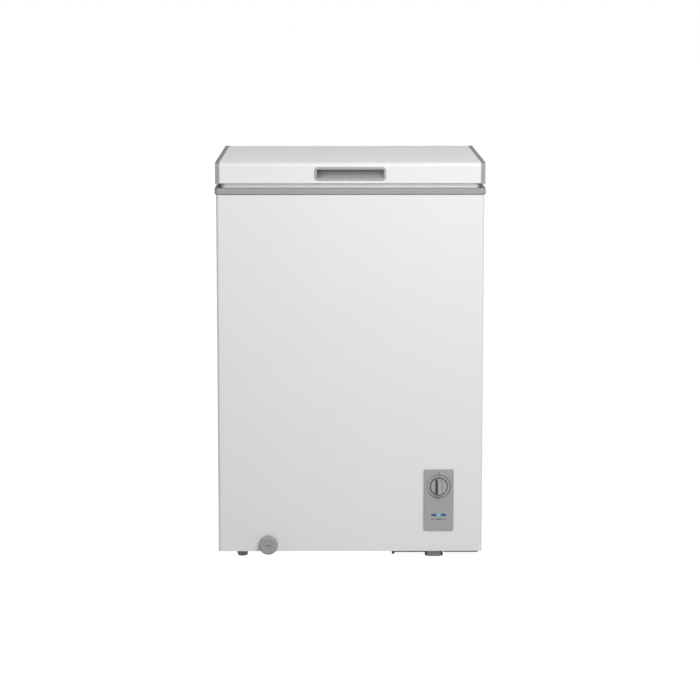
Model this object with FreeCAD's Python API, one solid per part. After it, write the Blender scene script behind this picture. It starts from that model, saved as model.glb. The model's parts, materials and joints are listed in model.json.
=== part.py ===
"""Chest freezer, built as its separate pieces. Millimetres, +Z up, front at -Y, feet on z = 0."""
import FreeCAD, Part
import math
import os

V = FreeCAD.Vector
ALONG_X = V(1, 0, 0)
ALONG_Y = V(0, 1, 0)
ALONG_Z = V(0, 0, 1)

# ---------------------------------------------------------------- driving sizes
total_height = 850.0
cabinet_width = 563.0
cabinet_depth = 520.0
cabinet_corner = 6.0
foot_height = 17.0

lid_side_overhang = 1.5
lid_rear_overhang = 2.0
lid_height = 44.2
lid_corner = 8.0
lid_sheet = 0.7
seal_height = 10.8

collar_height = 13.0
collar_lip = 3.0
collar_deck = 2.5
collar_corner = 9.0
collar_skirt_depth = 20.0
collar_skirt = 1.6

steel = 0.8
back_sheet = 0.6
wall_insulation = 64.2
floor_insulation = 60.0
bay_insulation = 45.0
liner_sheet = 0.8
tub_corner = 22.0
tub_floor_bend = 9.0
shell_flange = 22.0
liner_flange = 14.0

bay_width = 185.0
bay_height = 212.0

# Clearances
touch_gap = 0.3
slide_gap = 0.3
shaft_gap = 0.05
seam_gap = 0.5

# Control panel and thermostat
panel_width = 63.2
panel_height = 131.5
panel_thickness = 5.0
panel_corner = 4.0
panel_round = 1.2
panel_from_right = 92.7
panel_bottom_above_shell = 46.9
panel_rim = 4.0
panel_spigot = 6.0
knob_radius = 17.3
knob_height = 20.0
knob_disc = 6.0
knob_bore = 9.0
knob_round = 1.5
boss_radius = 8.0
thermostat_bore = 8.0
knob_grip_width = 11.0
knob_grip_left = 4.3
knob_grip_lean = 1.9
knob_bar_inset = 0.5
knob_bar_taper = 3.2
knob_groove_width = 3.8
knob_groove_depth = 3.5
knob_groove_edge = 0.8
knob_above_panel_middle = 28.7
dish_radius = 25.6
dish_depth = 3.0
shaft_radius = 3.0
window_width = 31.6
window_height = 4.9
window_below_panel_middle = 32.9
lens_proud = 0.4
board_width = 44.0
board_height = 16.0
board_sheet = 1.6
board_gap = 1.0
thermostat_size = 34.0
thermostat_depth = 22.0
thermostat_setback = 12.0
control_box_depth = 48.0
plastic_wall = 2.0

# Drain
drain_from_left = 106.7
drain_above_shell = 15.0
drain_inset = 42.0
drain_bend = 16.0
drain_tube_radius = 8.0
drain_bore_radius = 6.2
drain_stem_radius = 5.9
drain_stem_bore = 4.0
drain_stem_length = 46.0
drain_dial_radius = 20.0
drain_dial_depth = 14.0
drain_flange_radius = 15.0
drain_flange = 1.6
drain_plug_radius = 16.0
drain_plug_thickness = 3.0
plug_stem = 10.0
plug_tab_width = 14.0
plug_tab_height = 14.0
plug_tab_corner = 5.0
plug_tab_hole = 2.5
dial_hub_depth = 9.0
dial_grooves = 24
dial_groove = 1.1
dial_wall = 2.2
dial_face = 4.0
dial_round = 2.5
dial_ring = 7.0
dial_ring_depth = 0.8
dial_slot_length = 11.0
dial_slot_width = 2.4
dial_slot_depth = 2.2

# Hinges
hinge_inset = 111.5
pin_behind_back = 16.0
pin_below_lid = 17.8
pin_radius = 3.0
pin_head = 1.6
knuckle_radius = 5.2
web_inset = 0.6
web_height = 34.0
web_thickness = 4.0
leaf_low = 2.0
leaf_high = 6.0
cam_width = 12.0
knuckle_half_width = 8.4
cheek_inside = 8.9
cheek_sheet = 2.0
cheek_slope = 30.0
cheek_bend = 5.0
cheek_notch = 7.0
hinge_plate_width = 60.0
hinge_plate = 1.5
hinge_reach = 24.5
hinge_length = 92.0
lid_opening = math.radians(85.0)
cam_base_radius = 4.2
cam_least_drop = 5.4
plunger_radius = 8.6
plunger_head = 10.0
plunger_stem_radius = 4.0
plunger_stem_length = 40.0
spring_wire = 0.9
spring_radius = 6.2
spring_turns = 8
leaf_screw = 10.0
hinge_screw_offset = 21.0
hinge_screw_low = 12.0
hinge_screw_high = 14.0
lid_screw_low = 10.0
lid_screw_high = 14.0

# Handle recess in the lid's front
bezel_width = 150.0
bezel_height = 28.2
bezel_proud = 1.4
bezel_above_lid_bottom = 5.7
handle_width = 140.0
handle_height = 17.4
handle_depth = 24.0
handle_undercut = 4.0
handle_scoop = 11.0
handle_top_bend = 4.0
handle_lip = 4.0
bezel_corner = 7.0
bezel_round = 0.9
bezel_cup = 1.6

# Lid trim, seal and plug
cap_width = 9.0
cap_wall = 2.0
cap_proud = 0.5
cap_hang = 1.8
gasket_inset_x = 12.0
gasket_inset_y = 5.0
gasket_width = 17.0
gasket_corner = 12.0
seal_pleat = 1.2
seal_pleat_low = 4.2
lid_liner_sheet = 1.2
lid_hem = 12.0
magnet_side = 3.0
magnet_strip = 3.0
magnet_corner_gap = 4.0
plug_clearance = 12.0
plug_depth = 14.0
plug_corner = 18.0
plug_round = 3.0

# Refrigeration
evaporator_tube = 4.0
evaporator_turns = 7
evaporator_pitch = 62.0
evaporator_first = 55.0
evaporator_corner = 26.0
jog_bend = 14.0
jog_offset = 5.0
riser_below_bay = 14.0
suction_bend = 14.0
feed_above_floor = 12.0
return_above_feed = 28.0
feed_from_bay_wall = 16.0
condenser_tube = 2.4
condenser_runs = 8
condenser_pitch = 74.0
condenser_first = 110.0
condenser_inset = 60.0
capillary_radius = 1.2
capillary_drop = 16.0
compressor_radius = 62.0
compressor_height = 132.0
compressor_behind_middle = 90.0
compressor_wall = 3.0
compressor_seam = 5.0
compressor_split_share = 0.66
compressor_foot_curve = 20.0
compressor_dome_curve = 34.0
motor_gap = 10.0
motor_foot = 16.0
motor_foot_step = 14.0
stator_height = 54.0
pump_height = 32.0
pump_width = 58.8
pump_length = 68.6
suction_above_base = 76.0
discharge_above_base = 60.0
stub_length = 8.0
bolt_radius = 3.0
bolt_head_radius = 5.5
bolt_head = 4.0
bolt_below = 6.0
relay_width = 44.0
relay_depth = 30.0
relay_above_pot = 8.0
drier_radius = 9.0
drier_length = 90.0
drier_taper = 10.0
drier_ahead = 12.0
drier_above_return = 16.0
grommet_radius = 10.0
grommet_height = 15.0
grommet_neck = 7.0
grommet_collar = 4.0
mount_sheet = 2.5
mount_spread_x = 60.0
mount_spread_y = 74.0
base_plate_sheet = 2.0
base_plate_inset = 7.8
base_plate_left_inset = 6.8
base_plate_front_inset = 6.0
base_curl = 4.0
base_screw_inset = 14.0
base_screw_edge = 5.0
base_screw = 6.0
base_screws_from_bay = (37.0, 120.0)
base_screws_from_pot = (-130.0, 110.0)

# Feet
foot_top_radius = 13.4
foot_bottom_radius = 10.4
foot_round = 2.5
left_foot_inset = 50.0
foot_inset_y = 40.0
right_foot_inset = 101.5
right_foot_width = 38.0
right_foot_length = 34.0
right_foot_cheek = 4.5
pad_round = 1.5
cheek_off_floor = 1.5
foot_stud = 8.0
foot_stud_radius = 3.0

# Basket
basket_wire = 2.0
basket_mesh_wire = 1.6
basket_width = 188.0
basket_height = 190.0
basket_side_gap = 8.0
basket_end_gap = 5.0
basket_cross_wires = 5
basket_long_wires = 3
basket_bend = 14.0
basket_drop = 20.0
basket_hook_reach = 15.0
basket_hook_inset = 28.0
basket_hook_drop = 12.0
basket_weld = 0.5

# Rear cover and side grille
cover_sheet = 1.5
louvre_height = 4.0
louvre_pitch = 11.0
louvre_width = 62.0
louvre_count = 8
louvre_column_gap = 10.0
louvre_above_cord = 40.0
grille_width = 136.0
grille_height = 116.0
grille_rim = 7.0
grille_proud = 1.2
grille_slats = 8
grille_depth = 4.0
slat_thickness = 2.0
slat_rise = 4.0
cord_from_bay_wall = 26.3
cord_above_shell = 46.0
cord_radius = 4.0
grommet_wall = 3.0
bush_reach = 5.0
bush_flange = 3.0

screw_head_radius = 4.0
screw_head = 2.4
screw_radius = 2.0

# ---------------------------------------------------------------- places worked out from the sizes
knob_seat = 0.5
front_reach = panel_thickness - dish_depth + knob_seat + knob_height
front = (front_reach - cabinet_depth - hinge_reach) / 2
back = front + cabinet_depth
left = -cabinet_width / 2
right = cabinet_width / 2
shell_bottom = foot_height
lid_top = total_height
lid_bottom = lid_top - lid_height
collar_top = lid_bottom - seal_height
collar_bottom = collar_top - collar_height
shell_top = collar_top - collar_deck
foam_top = shell_top - steel
foam_bottom = shell_bottom + steel + back_sheet

tub_wall = wall_insulation + steel
tub_left = left + tub_wall
tub_right = right - tub_wall
tub_front = front + tub_wall
tub_back = back - tub_wall
tub_floor = foam_bottom + floor_insulation + liner_sheet
bay_left = right - steel - bay_width
bay_top = shell_bottom + bay_height
hump_left = bay_left - bay_insulation
hump_top = bay_top + bay_insulation

lid_width = cabinet_width + 2 * lid_side_overhang
lid_front = front - collar_lip
lid_back = back + lid_rear_overhang
lid_half = lid_width / 2
cap_start = lid_half - cap_width
lid_skin_top = lid_top - cap_proud
flange_bottom = lid_bottom - lid_liner_sheet
skin_half = lid_half - cap_wall - touch_gap
plug_bottom = collar_top - plug_depth
handle_bottom = lid_bottom + bezel_above_lid_bottom + (bezel_height - handle_height) / 2

panel_centre_x = right - panel_from_right
panel_bottom = shell_bottom + panel_bottom_above_shell
panel_middle = panel_bottom + panel_height / 2
knob_z = panel_middle + knob_above_panel_middle
window_z = panel_middle - window_below_panel_middle
dish_floor = front - panel_thickness + dish_depth
drain_x = left + drain_from_left
drain_z = shell_bottom + drain_above_shell
drain_y = tub_front + drain_inset
dial_rear = front - drain_flange - touch_gap
foot_rows = (front + foot_inset_y, back - foot_inset_y)
right_foot_x = right - right_foot_inset

hinge_offset_x = cabinet_width / 2 - hinge_inset
pin_y = back + pin_behind_back
pin_z = lid_bottom - pin_below_lid
cam_lift = cam_base_radius * lid_opening
cam_first_drop = cam_least_drop + cam_lift
hinge_low = collar_bottom - hinge_length
plunger_top = pin_z - cam_first_drop - slide_gap
plunger_y = pin_y - cam_base_radius

coil_out = liner_sheet + touch_gap + evaporator_tube
coil_left = tub_left - coil_out
coil_right = tub_right + coil_out
coil_front = tub_front - coil_out
coil_back = tub_back + coil_out
coil_z = hump_top + evaporator_first - floor_insulation / 2
compressor_x = bay_left + bay_width / 2
jog_x = compressor_x + jog_offset
riser_end = bay_top - riser_below_bay
return_y = coil_back + 4 * evaporator_tube
return_x = jog_x - 2 * jog_bend

condenser_x = left + steel + touch_gap + condenser_tube
condenser_front = front + condenser_inset
condenser_back = back - condenser_inset
condenser_z = shell_bottom + condenser_first
feed_z = foam_bottom + feed_above_floor
return_z = feed_z + return_above_feed
feed_x = bay_left + feed_from_bay_wall
drier_x = bay_left + steel + touch_gap + drier_radius
drier_y = condenser_front - drier_ahead
drier_z = return_z + drier_above_return

base_left = bay_left - base_plate_left_inset
base_right = right - base_plate_inset
base_top = shell_bottom
base_bottom = base_top - base_plate_sheet
base_front = front + base_plate_front_inset
base_back = back - base_plate_front_inset
compressor_y = compressor_behind_middle + (front + back) / 2
feed_y = compressor_y
compressor_bottom = base_top + grommet_height
compressor_top = compressor_bottom + compressor_height
compressor_split = compressor_bottom + compressor_height * compressor_split_share
suction_z = base_top + suction_above_base
discharge_z = base_top + discharge_above_base
stub_end = compressor_y + compressor_radius + stub_length

basket_right = tub_right - basket_side_gap
basket_left = basket_right - basket_width
basket_front = tub_front + basket_end_gap
basket_back = tub_back - basket_end_gap
basket_rim = collar_top - basket_drop
basket_floor = basket_rim - basket_height

grille_y = compressor_y - 40.0
grille_z = shell_bottom + bay_height / 2
cord_x = bay_left + cord_from_bay_wall
cord_z = shell_bottom + cord_above_shell


# ---------------------------------------------------------------- shape helpers
def save(name, shape):
    """Write one node's solid or solids."""
    shape.exportStep("parts/" + name + ".step")


def block(x0, x1, y0, y1, z0, z1):
    """A box between two corners."""
    return Part.makeBox(x1 - x0, y1 - y0, z1 - z0, V(x0, y0, z0))


def disc(radius, x, y, z, length, axis=ALONG_Z):
    """A cylinder that starts at a point and runs along an axis."""
    return Part.makeCylinder(radius, length, V(x, y, z), axis)


def rounding(before, corner, after, bend):
    """Where an arc leaves one run, peaks and joins the next at a corner."""
    arriving = (corner - before).normalize()
    leaving = (after - corner).normalize()
    half = arriving.getAngle(leaving) / 2
    cut = bend * math.tan(half)
    inward = (leaving - arriving).normalize()
    peak = corner + inward * (bend / math.cos(half) - bend)
    return corner - arriving * cut, peak, corner + leaving * cut


def read_stops(points):
    """Split points of (x, y, z) or (x, y, z, bend radius) into places and bends."""
    places = [V(*point[:3]) for point in points]
    bends = [point[3] if len(point) > 3 else 0.0 for point in points]
    return places, bends


def route(points):
    """An open wire of straight runs joined by tangent arcs."""
    places, bends = read_stops(points)
    edges = []
    here = places[0]
    for before, corner, after, bend in zip(places, places[1:], places[2:], bends[1:]):
        leave, peak, join = rounding(before, corner, after, bend)
        if (leave - here).Length > 1e-6:
            edges.append(Part.LineSegment(here, leave).toShape())
        edges.append(Part.Arc(leave, peak, join).toShape())
        here = join
    edges.append(Part.LineSegment(here, places[-1]).toShape())
    return Part.Wire(edges)


def loop(points):
    """A closed wire of straight runs, with an arc at each corner that has a bend."""
    places, bends = read_stops(points)
    count = len(places)
    ends = []
    arcs = []
    for index in range(count):
        corner = places[index]
        if bends[index] > 0:
            before = places[index - 1]
            after = places[(index + 1) % count]
            leave, peak, join = rounding(before, corner, after, bends[index])
            ends.append((leave, join))
            arcs.append(Part.Arc(leave, peak, join).toShape())
        else:
            ends.append((corner, corner))
            arcs.append(None)
    edges = []
    for index in range(count):
        if arcs[index]:
            edges.append(arcs[index])
        start = ends[index][1]
        stop = ends[(index + 1) % count][0]
        if (stop - start).Length > 1e-6:
            edges.append(Part.LineSegment(start, stop).toShape())
    return Part.Wire(edges)


def prism(points, push):
    """A solid pushed out of a closed outline."""
    return Part.Face(loop(points)).extrude(push)


def upright(x0, x1, y0, y1, z0, z1, corner):
    """A box whose four vertical edges are rounded."""
    points = [(x0, y0, z0, corner), (x1, y0, z0, corner), (x1, y1, z0, corner), (x0, y1, z0, corner)]
    return prism(points, V(0, 0, z1 - z0))


def facing(x0, x1, y0, y1, z0, z1, corner):
    """A box whose four edges along Y are rounded."""
    points = [(x0, y0, z0, corner), (x1, y0, z0, corner), (x1, y0, z1, corner), (x0, y0, z1, corner)]
    return prism(points, V(0, y1 - y0, 0))


def rod(points, radius):
    """A round bar or tube's outside along a route."""
    path = route(points)
    start = V(*points[0][:3])
    ring = Part.makeCircle(radius, start, V(*points[1][:3]) - start)
    return path.makePipeShell([Part.Wire(ring)], True, False)


def turned(points, x, y):
    """A solid of revolution about a vertical axis from an outline of (radius, z) points."""
    outline = Part.makePolygon([V(r, 0, z) for r, z in points] + [V(points[0][0], 0, points[0][1])])
    solid = Part.Face(outline).revolve(V(0, 0, 0), ALONG_Z, 360)
    solid.translate(V(x, y, 0))
    return solid


def turned_forward(points, x, z):
    """A solid of revolution about an axis along Y from an outline of (radius, y) points."""
    outline = Part.makePolygon([V(r, y, 0) for r, y in points] + [V(points[0][0], points[0][1], 0)])
    solid = Part.Face(outline).revolve(V(0, 0, 0), ALONG_Y, 360)
    solid.translate(V(x, 0, z))
    return solid


def group(shapes):
    """Separate solids that share a node."""
    return Part.makeCompound(shapes)


def screw(x, y, z, axis, length):
    """A pan-head screw whose head's underside is at the point given; the shank runs along the axis."""
    head = disc(screw_head_radius, x, y, z, screw_head, axis * -1)
    shank = disc(screw_radius, x, y, z, length, axis)
    recess = disc(screw_radius * 0.6, x, y, z, screw_head, axis * -1)
    recess.translate(axis * (-screw_head * 0.5))
    return head.fuse(shank).cut(recess)


def drill(shape, places, radius, axis, depth):
    """Cut a round hole at each place, half the depth to either side of it."""
    for place in places:
        start = V(*place) - axis * (depth / 2)
        shape = shape.cut(Part.makeCylinder(radius, depth, start, axis))
    return shape


# ---------------------------------------------------------------- spaces shared by several pieces
def wrap_outline(inset, rear):
    """Plan of the cabinet's folded wrap, square at the rear and rounded at the front."""
    corner = cabinet_corner - inset
    return [
        (left + inset, rear, 0),
        (left + inset, front + inset, 0, corner),
        (right - inset, front + inset, 0, corner),
        (right - inset, rear, 0),
    ]


def wrap_block(inset, rear, z0, z1):
    """The space inside the wrap between two heights."""
    solid = prism(wrap_outline(inset, rear), V(0, 0, z1 - z0))
    solid.translate(V(0, 0, z0))
    return solid


def tub_part(grow, x1, floor):
    """One straight-sided part of the storage space, rounded at its corners and round its floor."""
    space = upright(
        tub_left - grow, x1 + grow, tub_front - grow, tub_back + grow,
        floor - grow, collar_top + 10.0, tub_corner + grow)
    floor_edges = [edge for edge in space.Edges if edge.BoundBox.ZMax < floor - grow + 0.01]
    return space.makeFillet(tub_floor_bend + grow, floor_edges)


def tub_space(grow):
    """The storage space with its step over the compressor, grown outwards by a sheet or a gap."""
    deep = tub_part(grow, hump_left, tub_floor)
    return deep.fuse(tub_part(grow, tub_right, hump_top)).removeSplitter()


def window_hole():
    """The control panel's opening in the front, which the panel's spigot fits with a seam."""
    half_width = panel_width / 2 - panel_rim
    half_height = panel_height / 2 - panel_rim
    return (panel_centre_x - half_width, panel_centre_x + half_width,
            panel_middle - half_height, panel_middle + half_height)


# ---------------------------------------------------------------- cabinet
def cabinet_shell():
    """Painted steel wrap: front and both sides in one sheet, with folded flanges top and bottom."""
    shell = wrap_block(0, back, shell_bottom, shell_top)
    hollow = wrap_block(steel, back + 1, shell_bottom + steel, shell_top - steel)
    shell = shell.cut(hollow)
    reach = shell_flange
    shell = shell.cut(block(left + reach, right - reach, front + reach, back + 1, 0, total_height))
    x0, x1, z0, z1 = window_hole()
    shell = shell.cut(facing(x0, x1, front - 1, front + 2, z0, z1, panel_corner))
    shell = shell.cut(disc(drain_tube_radius + seam_gap, drain_x, front - 1, drain_z, 4, ALONG_Y))
    shell = drill(shell, base_screw_places(), screw_radius + shaft_gap, ALONG_Z, 8)
    half_width = grille_width / 2 - grille_rim / 2
    half_height = grille_height / 2 - grille_rim / 2
    return shell.cut(block(
        right - 2, right + 1, grille_y - half_width, grille_y + half_width,
        grille_z - half_height, grille_z + half_height))


def back_panel():
    """Flat steel back behind the insulation, notched round the compressor bay."""
    panel = block(left + steel, right - steel, back - back_sheet, back, shell_bottom + steel, foam_top)
    return panel.cut(block(bay_left, right, back - 2, back + 1, 0, bay_top))


def bottom_panel():
    """Flat steel floor under the insulation."""
    return block(
        left + steel, bay_left, front + steel, back - back_sheet,
        shell_bottom + steel, foam_bottom).common(wrap_block(steel, back, 0, shell_top))


def bay_liner():
    """Folded steel that divides the compressor bay from the insulation."""
    y0 = front + steel
    y1 = back - cover_sheet
    upright_sheet = block(bay_left, bay_left + steel, y0, y1, shell_bottom + steel, bay_top)
    ceiling = block(bay_left, right - steel, y0, y1, bay_top - steel, bay_top)
    liner = upright_sheet.fuse(ceiling).common(wrap_block(steel, back, 0, shell_top))
    risers = [(jog_x, coil_back, bay_top), (return_x, return_y, bay_top)]
    liner = drill(liner, risers, evaporator_tube + seam_gap, ALONG_Z, 6)
    feeds = [(bay_left, feed_y, feed_z), (bay_left, drier_y, return_z)]
    return drill(liner, feeds, condenser_tube + seam_gap, ALONG_X, 6)


def evaporator_channels():
    """Slots in the insulation round the liner, where the evaporator's turns lie."""
    room = evaporator_tube + seam_gap
    slots = []
    for turn in range(evaporator_turns):
        level = coil_z + turn * evaporator_pitch
        slots.append(upright(
            coil_left - room, coil_right + room, coil_front - room, coil_back + room,
            level - room, level + room, evaporator_corner + room))
    top = coil_z + (evaporator_turns - 1) * evaporator_pitch
    half = jog_bend + evaporator_tube
    slots.append(block(jog_x - half, jog_x + half, tub_back, coil_back + room, bay_top - 1, top))
    slots.append(block(
        return_x - room, return_x + room, coil_back, return_y + room, bay_top - 1, top + room))
    return slots


def condenser_channels():
    """Slots in the insulation where the condenser's runs lie against the left side."""
    room = condenser_tube + seam_gap
    inner = condenser_x + room
    outer = left + steel
    top = condenser_z + (condenser_runs - 1) * condenser_pitch
    slots = []
    for run in range(condenser_runs):
        level = condenser_z + run * condenser_pitch
        slots.append(block(outer, inner, condenser_front, condenser_back, level - room, level + room))
    bend = condenser_pitch / 2 + room
    low = min(feed_z, return_z) - room
    slots.append(block(outer, inner, drier_y - room, condenser_front + bend, low, top + room))
    slots.append(block(outer, inner, condenser_back - bend, condenser_back + room, condenser_z, top))
    slots.append(block(outer, inner, feed_y - room, feed_y + bend, low, condenser_z + room))
    slots.append(block(outer, bay_left, feed_y - room, feed_y + room, feed_z - room, feed_z + room))
    slots.append(block(outer, bay_left, drier_y - room, drier_y + room, return_z - room, return_z + room))
    for y, z in ((feed_y, feed_z), (drier_y, return_z)):
        bend_room = 3 * condenser_tube + room
        slots.append(block(outer, outer + bend_room, y - room, y + room, z - room, z + bend_room))
    return slots


def drain_route():
    """Centre line of the drain tube, from the tub's floor to the front."""
    return [
        (drain_x, drain_y, tub_floor), (drain_x, drain_y, drain_z, drain_bend),
        (drain_x, front - drain_flange, drain_z)]


def cabinet_foam():
    """Rigid foam between the wrap and the liner, with the bay and all channels left free."""
    foam = wrap_block(steel, back - back_sheet, foam_bottom, foam_top)
    foam = foam.cut(tub_space(liner_sheet))
    foam = foam.cut(block(bay_left, right, front, back, 0, bay_top))
    foam = foam.cut(evaporator_channels())
    foam = foam.cut(condenser_channels())
    return foam.cut(rod(drain_route(), drain_tube_radius + touch_gap))


def inner_liner():
    """Aluminium tub with a flange that rests on the foam."""
    outside = tub_space(liner_sheet).common(block(left, right, front, back, 0, shell_top))
    reach = liner_flange + liner_sheet
    flange = upright(
        tub_left - reach, tub_right + reach, tub_front - reach, tub_back + reach,
        foam_top, shell_top, tub_corner + reach)
    liner = outside.fuse(flange).cut(tub_space(0))
    return liner.cut(disc(drain_tube_radius + seam_gap, drain_x, drain_y, tub_floor - 5, 10))


def top_collar():
    """Grey frame that caps the cabinet: outer lip, flat deck for the seal and an inner skirt."""
    lip = collar_lip
    outer = upright(
        left - lip, right + lip, front - lip, back + lip, collar_bottom, collar_top, collar_corner)
    outer = outer.makeChamfer(1.2, [edge for edge in outer.Edges if edge.BoundBox.ZMax < collar_bottom + 0.1])
    under = wrap_block(0, back, collar_bottom - 1, shell_top)
    skirt_outer = tub_plan(0, collar_top - collar_skirt_depth, collar_top)
    skirt_inner = tub_plan(collar_skirt, collar_top - collar_skirt_depth - 1, collar_top + 1)
    frame = outer.cut(under)
    return frame.fuse(skirt_outer).cut(skirt_inner)


def tub_plan(inset, z0, z1):
    """The tub's plan between two heights, drawn in by an inset."""
    return upright(
        tub_left + inset, tub_right - inset, tub_front + inset, tub_back - inset,
        z0, z1, tub_corner - inset)


# ---------------------------------------------------------------- refrigeration
def evaporator_coil():
    """Tube wound round the liner above the step, from the bay up to the top turn and back down."""
    points = [(jog_x, coil_back, riser_end)]
    level = coil_z
    points.append((jog_x, coil_back, level, jog_bend))
    for turn in range(evaporator_turns):
        points.append((coil_left, coil_back, level, evaporator_corner))
        points.append((coil_left, coil_front, level, evaporator_corner))
        points.append((coil_right, coil_front, level, evaporator_corner))
        points.append((coil_right, coil_back, level, evaporator_corner))
        if turn < evaporator_turns - 1:
            points.append((jog_x, coil_back, level, jog_bend))
            level += evaporator_pitch
            points.append((jog_x, coil_back, level, jog_bend))
    down_bend = evaporator_tube * 1.5
    points.append((return_x, coil_back, level, down_bend))
    points.append((return_x, return_y, level, down_bend))
    points.append((return_x, return_y, riser_end))
    return rod(points, evaporator_tube)


def condenser_coil():
    """Serpentine against the left side, fed from the bay and drained back to it under the tub."""
    bend = condenser_pitch / 2
    side = condenser_tube * 3
    level = condenser_z
    points = [(feed_x, feed_y, feed_z + 2 * side), (feed_x, feed_y, feed_z, side)]
    points.append((condenser_x, feed_y, feed_z, side))
    points.append((condenser_x, feed_y, level, side))
    ends = [condenser_back, condenser_front]
    for run in range(condenser_runs - 1):
        points.append((condenser_x, ends[run % 2], level, bend))
        level += condenser_pitch
        points.append((condenser_x, ends[run % 2], level, bend))
    points.append((condenser_x, drier_y, level, side))
    points.append((condenser_x, drier_y, return_z, side))
    points.append((drier_x, drier_y, return_z, side))
    points.append((drier_x, drier_y, drier_z))
    return rod(points, condenser_tube)


def filter_drier():
    """Copper cartridge with tapered ends, clipped to the bay's wall."""
    neck = condenser_tube + 1.0
    taper = drier_taper
    top = drier_z + drier_length
    profile = [
        (0, drier_z), (neck, drier_z), (drier_radius, drier_z + taper),
        (drier_radius, top - taper), (neck, top), (0, top)]
    return turned(profile, drier_x, drier_y)


def capillary_tube():
    """Thin tube from the drier, along the bay's ceiling, to the foot of the evaporator."""
    level = riser_end - capillary_drop
    side = capillary_radius * 5
    return rod([
        (drier_x, drier_y, drier_z + drier_length),
        (drier_x, drier_y, level, side),
        (drier_x, coil_back, level, side),
        (jog_x, coil_back, level, side),
        (jog_x, coil_back, riser_end)], capillary_radius)


def suction_tube():
    """Return tube from the evaporator down to the stub on the compressor's rear."""
    return rod([
        (return_x, return_y, riser_end),
        (return_x, return_y, suction_z, suction_bend),
        (return_x, stub_end, suction_z)], evaporator_tube)


def discharge_tube():
    """Tube from the compressor's side to the start of the condenser."""
    return rod([
        (compressor_x - compressor_radius - stub_length, feed_y, discharge_z),
        (feed_x, feed_y, discharge_z, condenser_tube * 3),
        (feed_x, feed_y, feed_z + condenser_tube * 6)], condenser_tube)


def compressor_pot(inset):
    """The compressor's rounded pot, drawn in by a wall."""
    radius = compressor_radius - inset
    low = compressor_bottom + inset
    high = compressor_top - inset
    foot_curve = compressor_foot_curve - inset
    dome_curve = compressor_dome_curve - inset
    outline = Part.Wire([
        Part.LineSegment(V(0, 0, low), V(radius - foot_curve, 0, low)).toShape(),
        quarter(radius - foot_curve, low + foot_curve, foot_curve, -90),
        Part.LineSegment(V(radius, 0, low + foot_curve), V(radius, 0, high - dome_curve)).toShape(),
        quarter(radius - dome_curve, high - dome_curve, dome_curve, 0),
        Part.LineSegment(V(radius - dome_curve, 0, high), V(0, 0, high)).toShape(),
        Part.LineSegment(V(0, 0, high), V(0, 0, low)).toShape()])
    pot = Part.Face(outline).revolve(V(0, 0, 0), ALONG_Z, 360)
    pot.translate(V(compressor_x, compressor_y, 0))
    return pot


def quarter(x, z, radius, start):
    """A quarter arc in the XZ plane from a start angle, counter-clockwise."""
    places = []
    for turn in (0, 45, 90):
        angle = math.radians(start + turn)
        places.append(V(x + radius * math.cos(angle), 0, z + radius * math.sin(angle)))
    return Part.Arc(*places).toShape()


def compressor_lower_shell():
    """Lower half of the welded pot with its mounting bracket and tube stubs."""
    below = block(0, right, front, back, 0, compressor_split)
    seam = disc(compressor_radius + compressor_seam / 2, compressor_x, compressor_y,
                compressor_split - compressor_seam, compressor_seam)
    x_reach = mount_spread_x + grommet_radius
    y_reach = mount_spread_y + grommet_radius
    bracket = upright(
        compressor_x - x_reach, compressor_x + x_reach, compressor_y - y_reach, compressor_y + y_reach,
        compressor_bottom - mount_sheet, compressor_bottom, grommet_radius)
    bracket = drill(bracket, mount_places(compressor_bottom), grommet_neck + shaft_gap, ALONG_Z, 12)
    suction_start = compressor_y + compressor_radius * 0.6
    discharge_start = compressor_x - compressor_radius - stub_length
    stubs = [
        disc(evaporator_tube + 1, return_x, suction_start, suction_z, stub_end - suction_start, ALONG_Y),
        disc(condenser_tube + 1, discharge_start, feed_y, discharge_z, stub_length * 2, ALONG_X),
        disc(condenser_tube + 1, compressor_x + compressor_radius - stub_length, compressor_y,
             discharge_z, stub_length * 2, ALONG_X)]
    shell = compressor_pot(0).common(below).fuse([seam, bracket] + stubs)
    return shell.cut(compressor_pot(compressor_wall))


def compressor_upper_shell():
    """Domed upper half of the welded pot."""
    above = block(0, right, front, back, compressor_split, total_height)
    seam = disc(compressor_radius + compressor_seam / 2, compressor_x, compressor_y,
                compressor_split, compressor_seam)
    return compressor_pot(0).common(above).fuse(seam).cut(compressor_pot(compressor_wall))


def compressor_motor():
    """Motor and pump block that stands on the pot's floor."""
    low = compressor_bottom + compressor_wall
    wide = compressor_radius - compressor_wall - motor_gap
    foot = disc(wide - motor_foot_step, compressor_x, compressor_y, low, motor_foot)
    stator = disc(wide, compressor_x, compressor_y, low + motor_foot, stator_height)
    deck = low + motor_foot + stator_height
    pump = block(
        compressor_x - pump_width / 2, compressor_x + pump_width / 2, compressor_y - pump_length / 2,
        compressor_y + pump_length / 2, deck, deck + pump_height)
    return foot.fuse([stator, pump])


def mount_places(z):
    """The four corners where the compressor stands on its grommets."""
    return [(compressor_x + sx * mount_spread_x, compressor_y + sy * mount_spread_y, z)
            for sx in (-1, 1) for sy in (-1, 1)]


def compressor_grommets():
    """Rubber feet with a neck that the bracket's holes sit on."""
    neck_low = compressor_bottom - mount_sheet
    neck_high = compressor_bottom
    grommets = []
    for x, y, z in mount_places(base_top):
        profile = [
            (bolt_radius + shaft_gap, z), (grommet_radius, z), (grommet_radius, neck_low),
            (grommet_neck, neck_low), (grommet_neck, neck_high),
            (grommet_radius, neck_high), (grommet_radius, neck_high + grommet_collar),
            (bolt_radius + shaft_gap, neck_high + grommet_collar)]
        grommets.append(turned(profile, x, y))
    return group(grommets)


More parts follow.
